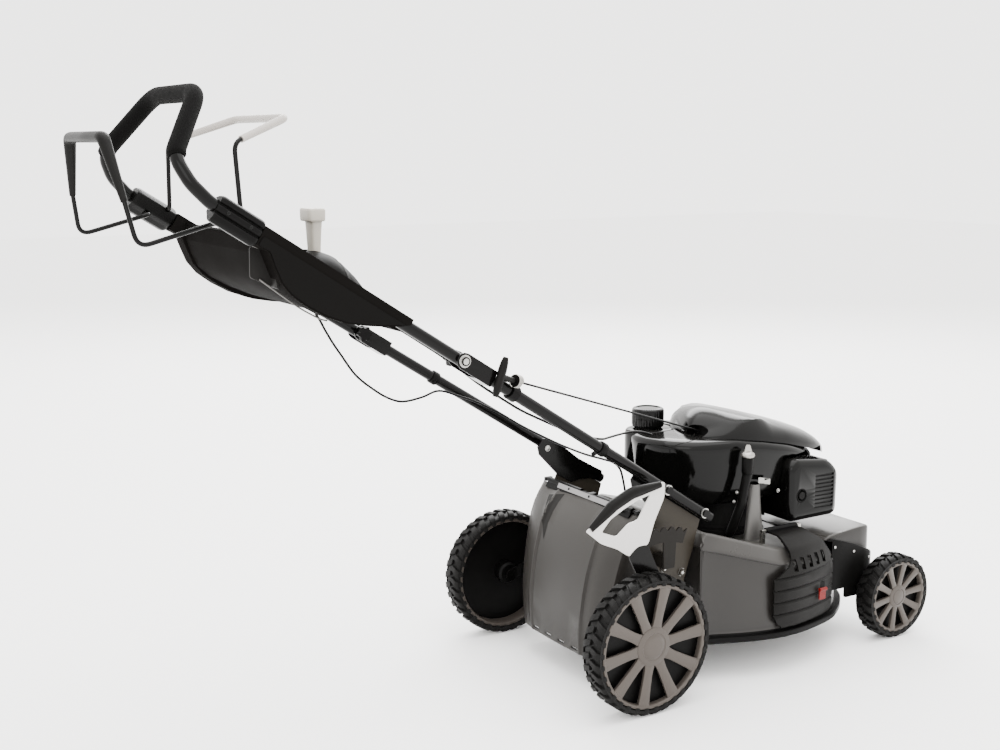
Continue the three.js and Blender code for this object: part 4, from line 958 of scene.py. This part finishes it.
def along_handle(profile, start, end, sign):
    """A body whose section (x, up) runs along the handle between two distances."""
    middle = (sum(p[0] for p in profile) / len(profile), sum(p[1] for p in profile) / len(profile))
    rings = []
    length = end - start
    for t, size in ((0, 0.88), (0.03, 0.965), (0.08, 1), (0.92, 1), (0.97, 0.965), (1, 0.88)):
        ring = []
        for x, up in profile:
            x = middle[0] + (x - middle[0]) * size
            up = middle[1] + (up - middle[1]) * size
            ring.append((sign * x, *on_handle(start + length * t, up)))
        rings.append(ring)
    return loft(rings)


block_section = softened([(191.5, -12), (204, -19), (213, -26), (230, -27), (236, -21), (236, -12),
    (230.5, -9), (236, -6), (236, 3), (230.5, 6), (236, 9), (235, 16), (228, 20), (214, 20),
    (204, 17), (191.5, 10)], 2.4)
for side, sign in SIDES:
    shape = Shape(along_handle(block_section, 446, 529, sign))
    body = piece("bail_clamp_" + side, shape, PLASTIC, "upper_handle", sharp=35,
        stands_for=["bail_block_" + side])
    carve(body, [sweep([(sign * 150, *pivot), (sign * 206, *pivot)], 4.8, 20)
        for pivot in (DRIVE_PIVOT, BRAKE_PIVOT)])
    bolts("bail_clamp_screws_" + side, [((sign * 235, *on_handle(along, -1.5)), (sign, 0, 0), 3.6)
        for along in (466, 509)], "upper_handle", STEEL_BLACK, height=1.5, washer=False)

# ---- console
MATT = surface("console_plastic", (0.0042, 0.0038, 0.0035), 0.65, grain=1600, bump=0.1, spec=0.004)
CHEEK = surface("cheek_plastic", (0.0028, 0.0026, 0.0024), 0.5, grain=1600, bump=0.08, spec=0.03)
refine("console", MATT, bevel=3.0, steps=3, sharp=28)
# height of the lower tube's middle line, and an x that spreads with the tubes
line_height = lambda y: 359 + SLOPE * (196 - y)
flare = lambda x, y: x + SPLAY * (-490 - y)
cheek_low = [on_handle(440, -2), on_handle(441, -19), (-747, 938), (-739, 914), (-727, 886),
    (-710, 866), (-684, 846.5), (-650, 828), (-614, 814.5), (-578, 808), (-545, 804),
    (-516, 803), on_handle(134, -2)]
for side, sign in SIDES:
    shape = Shape(loft([[(sign * flare(x, y), y, z) for y, z in softened(cheek_low, 5)]
        for x in (223.8, 226.2)]))
    piece("console_cheek_panel_" + side, shape, CHEEK, "upper_handle", bevel=1.0, steps=3,
        sharp=40)

rows = []
for y in range(-742, -484, 8):
    base = line_height(y) + 3
    half = flare(185.2, y) - 0.6
    rows.append([(-half, y, base), (half, y, base), (half, y, base + 2.4),
        (half - 1.4, y, base + 3.6), (1.4 - half, y, base + 3.6), (-half, y, base + 2.4)])
lid = Shape(loft(rows))
DOME = [(-656, 58, 903), (-650, 72, 906), (-632, 88, 912), (-615, 98, 916), (-596, 106, 918),
    (-577, 112, 917.5), (-562, 115, 915), (-548, 116, 911), (-528, 115, 898), (-508, 112, 883),
    (-492, 106, 868), (-478, 99, 853), (-468, 90, 840), (-462, 80, 831)]
# the dome is pressed together towards the front
DOME = [(min(y, -577 + 0.76 * (y + 577)), half, top) for y, half, top in DOME]
SLOT_EDGE = 18.8  # how far from the middle the band stops, clear of the speed knob


def dome_row(y, half, top, angles):
    base = line_height(y) + 3
    return [(half * math.copysign(abs(math.cos(a)) ** 0.85, math.cos(a)), y,
        base + (top - base) * math.sin(a) ** 0.8) for a in angles]


dome = Shape(loft([dome_row(*row, [math.pi * i / 32 for i in range(33)]) for row in DOME]))
cover = piece("console_dome", dome, CHEEK, "upper_handle", sharp=30, stands_for=["console_cover"])
carve(cover, [block(-18, 18, -606, -546, 880, 960)])
piece("console_lid", lid, CHEEK, "upper_handle", sharp=30)
# one half of the pale band over the dome
half_band = []
for y in (-553, -550, -547):
    half, top = (table([(d[0], d[i]) for d in DOME], y) + 0.8 for i in (1, 2))
    last = math.acos((SLOT_EDGE / half) ** (1 / 0.85))
    half_band.append(dome_row(y, half, top, [last * i / 16 for i in range(17)]))
band = Shape(sheet(half_band), sheet([[(-x, y, z) for x, y, z in reversed(row)]
    for row in half_band]))
piece("console_dome_band", band, GREY, "upper_handle", sharp=30)
stem = Shape(loft([[(u, -569 + v, z) for u, v in ring_of(32, wide, deep, 0.45)]
    for z, wide, deep in ((862, 13, 8), (880, 13, 8.6), (921, 13.6, 9.4), (950, 15.5, 10.6),
    (966, 17, 11.6), (972, 18.5, 13))]), loft([[(u * size, -570.5 + v * size, z)
    for u, v in ring_of(40, 24, 17, 0.34)] for z, size in ((969, 0.92), (970.4, 0.98), (972.5, 1),
    (988, 1.02), (990.6, 0.98), (992, 0.9))]), sweep([(-23, *SPEED_PIVOT), (23, *SPEED_PIVOT)],
    4.8, 20))
piece("speed_knob", stem, CREAM, "speed_control", sharp=35, stands_for=["speed_lever"])
bracket = Shape(slab([(-766, 943), (-767, 893), (-727, 876), (-734, 930)], 4, 188, 192),
    slab([(-734, 932), (-737, 930), (-730, 876), (-726, 874)], 1, 188, 214))
piece("cable_bracket", bracket, GREY, "upper_handle", bevel=1.0, sharp=35)
edge = Shape(sweep(rounded([(193, -764, 945), (198, -735, 934), (205, -727, 878)], 8), 1.4, 10),
    sweep(through([(194, -752, 890), (203, -716, 861), (207, -688, 840), (207, -655, 821),
    (206, -640, 816)], 5), 1.5, 10))
piece("cable_bracket_wire", edge, ALLOY, "upper_handle", sharp=60)

# ---- starter pull
OUTLET, GUIDE = Vector((42, 310, 489.5)), Vector((219, -274, 681))
PULL = (GUIDE - OUTLET).normalized()
out_at = lambda d: tuple(GUIDE + PULL * d)
across = Vector(X_AXIS).cross(PULL).normalized()
centre = Vector(out_at(46))
pull = Shape()
ends = [tuple(centre + across * t) for t in (-37, -36, -33, -27, -12, 0, 12, 27, 33, 36, 37)]
sizes = [4.5, 6.6, 8.2, 8.6, 7.9, 7.6, 7.9, 8.6, 8.2, 6.6, 4.5]
pull.add(sweep(ends, lambda t: table([(i / 10, s) for i, s in enumerate(sizes)], t), 28))
pull.add(sweep([out_at(d) for d in (9, 11, 20, 34, 44)], lambda t: 5.2 + 1.4 * t, 24))
piece("starter_grip", pull, PLASTIC_SOFT, "starter_pull", sharp=50, stands_for=["starter_handle"])
rope = Shape(sweep([out_at(8.4), out_at(-590)], 1.5, 12))
piece("starter_cord_inner", rope, CABLE, "starter_pull", stands_for=["starter_rope"])
sheath = Shape(sweep([out_at(-7), tuple(OUTLET)], 2.2, 14, caps=False))
piece("starter_cord", sheath, CABLE, "mower", stands_for=["rope_sheath"])
refine("rope_guide", PLASTIC, bevel=1.2, sharp=40)
side = Vector(X_AXIS) - PULL * PULL.x
side.normalize()
other = PULL.cross(side)
coil = []
for i in range(90):
    a = 2 * math.pi * i / 24
    d = -6 + 12 * i / 89
    coil.append(tuple(GUIDE + PULL * d + side * (11.6 * math.cos(a)) + other
        * (11.6 * math.sin(a))))
piece("rope_guide_coil", Shape(sweep(coil, 1.3, 10)), STEEL, "mower")

# ---- engine
HOOD_LINE = [(350, 478), (425, 467), (500, 452), (600, 425), (675, 398)]
hood_line = lambda y: table(HOOD_LINE, y)
MUFFLER_BAY = block(58, 160, 482, 640, 270, 426)
# (x, y) of the upright middle lines
TANK, CAP, FILLER = (-74, 268), (-76, 262), (150, 356)
MOUTH = softened([(18, 476), (66, 474), (72, 492), (48, 503), (24, 501)], 8)


def shroud():
    """The engine's lower housing, open at the tank and the muffler."""
    rings = []
    # half sizes, greatest height, and how far under the hood's lower edge the ring stays
    for half_x, half_y, limit, under in ((118, 203, 336, 0), (121, 206, 339, 0),
            (128, 214, 368, 0), (134, 220, 400, 34), (138.5, 224.5, 999, 26), (140, 226, 999, 17),
            (138.5, 224.5, 999, 9), (134, 219, 999, 3), (127, 212, 999, 0.4),
            (112, 196, 999, -1.5), (60, 110, 999, -3), (4, 8, 999, -3)):
        rings.append([(u - 10, v + 425, min(limit, hood_line(v + 425) - under))
            for u, v in ring_of(72, half_x, half_y, 0.82)])
    outer = Shape(loft(rings, start_cap=False))
    inner_rings = [[(-10 + (x + 10) * 0.97, 425 + (y - 425) * 0.98, z - (3 if i > 3 else 0))
        for x, y, z in ring] for i, ring in enumerate(rings[:10])]
    outer.add(loft(inner_rings, start_cap=False))
    outer.add(sleeve([inner_rings[0], rings[0]]))
    body = piece("engine_shroud_fine", outer, GLOSS, "mower", sharp=40,
        stands_for=["engine_shroud"])
    tank_cut = loft([[(TANK[0] + u, TANK[1] + v, z) for u, v in ring_of(40, 51.2, 57.2, 0.82)]
        for z in (380, 520)])
    carve(body, [tank_cut, MUFFLER_BAY, block(-170, -64, 484, 624, 290, 394)])


shroud()


# the crease down the hood's sides: how far out and how high it is, by y
HOOD_REACH = [(290, 30), (318, 63), (352, 87), (385, 97), (415, 100), (443, 98), (470, 85),
    (485, 60)]
HOOD_CREST = [(290, 484), (318, 497), (352, 508), (385, 513), (415, 514), (443, 511), (470, 505),
    (485, 500)]


def hood():
    """The engine's top cover. Its crease is full towards the tank and fades to the front."""
    stations = [(294, 24, 30, 492), (298, 22, 48, 501), (306, 17, 64, 511), (318, 12, 80, 519.5),
        (334, 6, 96, 527), (352, 0, 108, 531), (368, -2, 115, 530), (384, -5, 121, 527.5),
        (402, -6, 125, 524), (420, -8, 128, 520.5), (440, -9, 129, 515.5), (460, -9.5, 130, 510.5),
        (480, -10, 129, 505), (500, -10, 128, 499.5), (536, -9.5, 123, 489.5), (572, -8, 116, 478),
        (604, -6, 105, 466), (632, -4, 92, 452), (654, -2, 76, 438), (668, -0.5, 60, 426),
        (674, 0, 44, 417)]
    rows = []
    for y, cx, half, top in stations:
        base = hood_line(y) + 0.6
        row = []
        for i in range(41):
            a = math.pi * i / 40
            c, s = math.cos(a), math.sin(a)
            x = cx + half * math.copysign(abs(c) ** 0.8, c)
            z = base + (top - base) * s ** 0.72
            reach, crest = table(HOOD_REACH, y), table(HOOD_CREST, y)
            far = min(i, 40 - i) / 20
            if far < 0.35:
                t = far / 0.35
                u = half + (reach - cx - half) * t ** 1.5
                v = base + (crest - base) * t ** 0.75
            else:
                t = (far - 0.35) / 0.65
                u = (reach - cx) * (1 - t)
                v = crest + (top - crest) * math.sin(math.pi * t / 2) ** 0.85
            weight = table([(440, 1), (478, 0.45), (500, 0)], y)
            x += (cx + math.copysign(u, c) - x) * weight
            z += (min(v, top) - z) * weight
            row.append((x, y, z))
        rows.append(row)
    body = piece("engine_hood", Shape(loft(rows)), HOOD, "mower", sharp=28,
        stands_for=["top_cover"])
    carve(body, [prism([MOUTH], 270, 322, "y"), MUFFLER_BAY])
    piece("rope_mouth_lining", Shape(prism([MOUTH], 318, 322, "y")), PLASTIC, "mower")


hood()


def tank():
    """The fuel tank with its neck, and the ribbed cap."""
    rings = []
    for size, z in ((43, 396), (46, 397), (48.5, 400), (49.8, 406), (49.8, 468), (48.6, 475),
            (45, 479), (38, 480.6), (20, 481)):
        rings.append([(TANK[0] + u, TANK[1] + v, z) for u, v in ring_of(64, size, size + 6, 0.82)])
    shape = Shape(loft(rings), revolve([(24, 478), (24, 508), (21, 508), (21, 484)], (*CAP, 0),
        Z_AXIS, 40))
    piece("fuel_tank_fine", shape, GLOSS, "mower", sharp=40, stands_for=["fuel_tank"])
    cap = []
    for radius, z, ribs in ((33, 484, 0), (35.2, 486, 0.8), (36, 490, 0.9), (36, 519, 0.9),
            (35, 523.5, 0.5), (32, 526, 0), (27, 527, 0), (25.5, 525, 0), (4, 525.4, 0)):
        cap.append([(CAP[0] + (radius - ribs * (i % 4 < 2)) * math.cos(2 * math.pi * i / 144),
            CAP[1] + (radius - ribs * (i % 4 < 2)) * math.sin(2 * math.pi * i / 144), z)
            for i in range(144)])
    shape = Shape(loft(cap, start_cap=False), revolve([(25.2, 508.8), (25.2, 484), (33, 484)],
        (*CAP, 0), Z_AXIS, 48))
    piece("fuel_cap_fine", shape, GLOSS, "tank_cap", sharp=30, stands_for=["fuel_cap"])


tank()
filler = rounded([(84, 381, 272), (104, 350, 266), (121, 340, 276), (142, 350, 345),
    (*FILLER, 412), (*FILLER, 446)], 24, 8)
shape = Shape(sweep(filler, 10, 28), revolve([(9.6, 408), (11.6, 411), (12.4, 415), (12.4, 444),
    (11.4, 446), (0, 446)], (*FILLER, 0), Z_AXIS, 36))
piece("oil_filler_fine", shape, PLASTIC, "mower", stands_for=["oil_filler_tube"])
shape = Shape(revolve([(0, 446.8), (13.5, 446.8), (15, 449), (15, 452), (13.5, 455.5), (8, 458.5),
    (0, 460)], (*FILLER, 0), Z_AXIS, 40), loft([[(FILLER[0] + u, FILLER[1] + v, z)
    for u, v in ring_of(24, w, d, 0.6)] for z, w, d in ((457, 3.2, 11), (463, 2.8, 8.5),
    (470, 2.5, 6), (473, 2, 4))]))
piece("oil_dipstick_fine", shape, STEEL, "oil_cap", sharp=45, stands_for=["oil_dipstick"])

refine("crankcase", ALLOY_DARK, bevel=1.0, sharp=35)
refine("cylinder", ALLOY_DARK, bevel=0.6)
refine("muffler", ALLOY_DARK, bevel=1.5)


def muffler_cover():
    """The louvred box over the muffler, with the ring round its outlet."""
    outline = softened([(486, 279), (631, 279), (632.5, 384), (604, 409), (504, 420), (486, 404)],
        18, 7)
    small = softened([(490, 283), (627, 283), (628.5, 382), (602, 404.5), (506, 415), (490, 401)],
        16, 7)
    tiny = softened([(500, 293), (617, 293), (618.5, 377), (597, 394.5), (510, 405), (500, 395)],
        12, 7)

    def at(loop, x):
        return [(x, y, z) for y, z in loop]
    shape = Shape(loft([at(outline, 61), at(outline, 139), at(small, 146.6), at(tiny, 149.4)]))
    cover = piece("muffler_cover_fine", shape, GLOSS, "mower", bevel=1.2, sharp=50,
        stands_for=["muffler_cover"])
    rows = [slab([(560, z), (616, z - 2), (616, z + 3), (560, z + 5)], 1.5, 146, 153)
        for z in range(304, 385, 9)]
    rows.append(revolve([(0, 140), (12.4, 140), (12.4, 156), (0, 156)], (0, 520, 338), X_AXIS, 32))
    rows += [slab([(y, 405), (y + 34, 401.6), (y + 34, 430), (y, 430)], 2, 132, 138)
        for y in (506, 552)]
    carve(cover, rows)
    ring = Shape(revolve([(12.2, 146), (15.4, 147), (16, 149.4), (14.4, 150.8), (12.2, 149.6),
        (12.2, 146)], (0, 520, 338), X_AXIS, 40))
    piece("muffler_outlet_ring", ring, PLASTIC, "mower", sharp=35)


muffler_cover()
refine("air_cleaner", PLASTIC, bevel=4.0, steps=4)
refine("crankshaft", STEEL, bevel=0.4, sharp=35)
refine("flywheel", ALLOY, bevel=0.6, sharp=35)
refine("gearbox", ALLOY, bevel=1.5)
refine("drive_belt", CABLE, bevel=0.6)

blade_rings = []
for x in range(-204, 205, 12):
    far = abs(x) / 204
    sign = 1 if x > 0 else -1
    tail = 9 * max(0, (far - 0.78) / 0.22) ** 1.5
    wide = 27 - 6 * (1 - min(1, abs(far - 0.35) / 0.3)) if far < 0.65 else 27
    lead, trail = -sign * wide, sign * wide
    blade_rings.append([(x, SHAFT_Y + across, z) for across, z in ((lead, 88.6),
        (lead * 0.8, 91.6), (trail * 0.6, 91.8), (trail, 91.8 + tail), (trail * 0.98, 88.8 + tail),
        (trail * 0.6, 88.5))])
shape = Shape(loft(blade_rings[:18]), loft(blade_rings[17:]))
piece("blade_fine", shape, STEEL_BLACK, "crank", sharp=30, stands_for=["blade"])

# metal shield beside the filler tube, and small hardware on the engine
shield_rings = []
for z, y0, y1, x in ((246, 373, 429, 138), (268, 377, 427, 136), (312, 385, 423, 132),
        (358, 393, 421, 128), (374, 395, 421, 127)):
    middle, half = (y0 + y1) / 2, (y1 - y0) / 2
    ring = []
    for i in range(13):
        a = math.pi * i / 12
        ring.append((x - 10 + 12 * math.sin(a), middle - half * math.cos(a), z))
    ring += [(px - 2.5, py, pz) for px, py, pz in reversed(ring)]
    shield_rings.append(ring)
piece("engine_side_shield", Shape(loft(shield_rings)), ALLOY, "mower", sharp=45)
piece("engine_plain_plate", Shape(slab([
    (406, 378), (440, 371), (440, 384), (406, 391)], 2, 131, 132.6)), LABEL, "mower", bevel=0.3)
bolts("engine_bolts", [((126, 470, 352), X_AXIS, 3.4), ((131, 345, 366), X_AXIS, 2.8),
    ((128, 340, 346), X_AXIS, 2.8), ((-127, 430, 352), (-1, 0, 0), 5),
    ((-128, 330, 352), (-1, 0, 0), 4)], "mower", height=4)

# ---- control cables
BRAKE_CABLE = [(150, -483, 788), (156, -440, 759), (160, -400, 732), (162, -358, 701),
    (162, -316, 669), (164, -272, 640), (165, -229, 613), (167, -184, 590), (168, -140, 569),
    (168, -100, 553), (165, -66, 541), (152, -30, 532), (130, 0, 527), (100, 50, 522),
    (70, 105, 516), (50, 150, 506), (38, 184, 494)]
DRIVE_CABLE = [(-150, -503, 780), (-150, -494, 766), (-150, -484, 747), (-150, -468, 720),
    (-151, -450, 694), (-152, -418, 650), (-153, -377, 616), (-154, -343, 595), (-156, -310, 585),
    (-164, -262, 588), (-180, -213, 594), (-181, -165, 578), (-180, -120, 560), (-178, -60, 528),
    (-168, -20, 502), (-145, 12, 482), (-100, 36, 466), (-50, 42, 461), (0, 43, 460),
    (50, 46, 461), (84, 49, 460), (102, 52, 450), (104, 58, 430), (101, 66, 405), (98, 74, 378)]
for name, route, node, start, end in (("brake_cable_fine", BRAKE_CABLE, "brake_cable", 0, 4),
        ("drive_cable_fine", DRIVE_CABLE, "drive_cable", 2, 8)):
    cable = piece(name, Shape(sweep(through(route, 6), 2.5, 14)), CABLE, None, stands_for=[node])
    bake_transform(cable)


def clip(name, run, sign, reach):
    """A plastic clip round a lower handle tube, with an eye for a cable."""
    x, y, z = tube_point(run)
    way = Vector((SPLAY, -1, SLOPE)).normalized()
    middle = Vector((x, y, z))
    shape = Shape(revolve([(11.1, -8), (13.6, -8), (14.2, -6), (14.2, 6), (13.6, 8), (11.1, 8),
        (11.1, -8)], middle, way, 36))
    down = Vector((-0.75, -0.35, -0.56)).normalized()
    shape.add(sweep([tuple(middle + down * 12), tuple(middle + down * reach)], 4.5, 16))
    if sign < 0:
        shape = shape.flipped()
    piece(name, shape, PLASTIC, "mower", bevel=0.6, sharp=35)


clip("cable_clip_right", 262, 1, 24)
clip("cable_clip_left", 409, -1, 18)

# ---- floor, light
floor_mesh = bpy.data.meshes.new("floor")
floor_mesh.from_pydata([(-14, -14, 0), (14, -14, 0), (14, 14, 0), (-14, 14, 0)], [],
    [(0, 1, 2, 3)])
floor = linked("floor", floor_mesh)
floor_mesh.materials.append(surface("pale_floor", (0.95, 0.948, 0.945), 0.8, tint=0.002, bump=0,
    spec=0.1))

world = bpy.data.worlds.new("studio")
bpy.context.scene.world = world
world.use_nodes = True
put(world.node_tree.nodes["Background"], {"Color": (1, 0.99, 0.975, 1), "Strength": 3.5})


def softbox(name, at, aim, size, power):
    lamp = bpy.data.lights.new(name, "AREA")
    lamp.shape = "RECTANGLE"
    lamp.size, lamp.size_y = size
    lamp.energy = power
    obj = linked(name, lamp)
    obj.location = at
    obj.rotation_euler = (Vector(aim) - Vector(at)).to_track_quat("-Z", "Y").to_euler()


# where, aimed at, size, watts
softbox("overhead", (0.2, 0.2, 3.4), (0, 0.1, 0.3), (3.2, 3.2), 130)
softbox("rear_right", (2.6, -2.2, 2.2), (0, 0, 0.4), (1.8, 1.4), 30)
softbox("far_side", (-3.8, 2.6, 3.4), (0, 0.1, 0.5), (5.0, 2.4), 420)
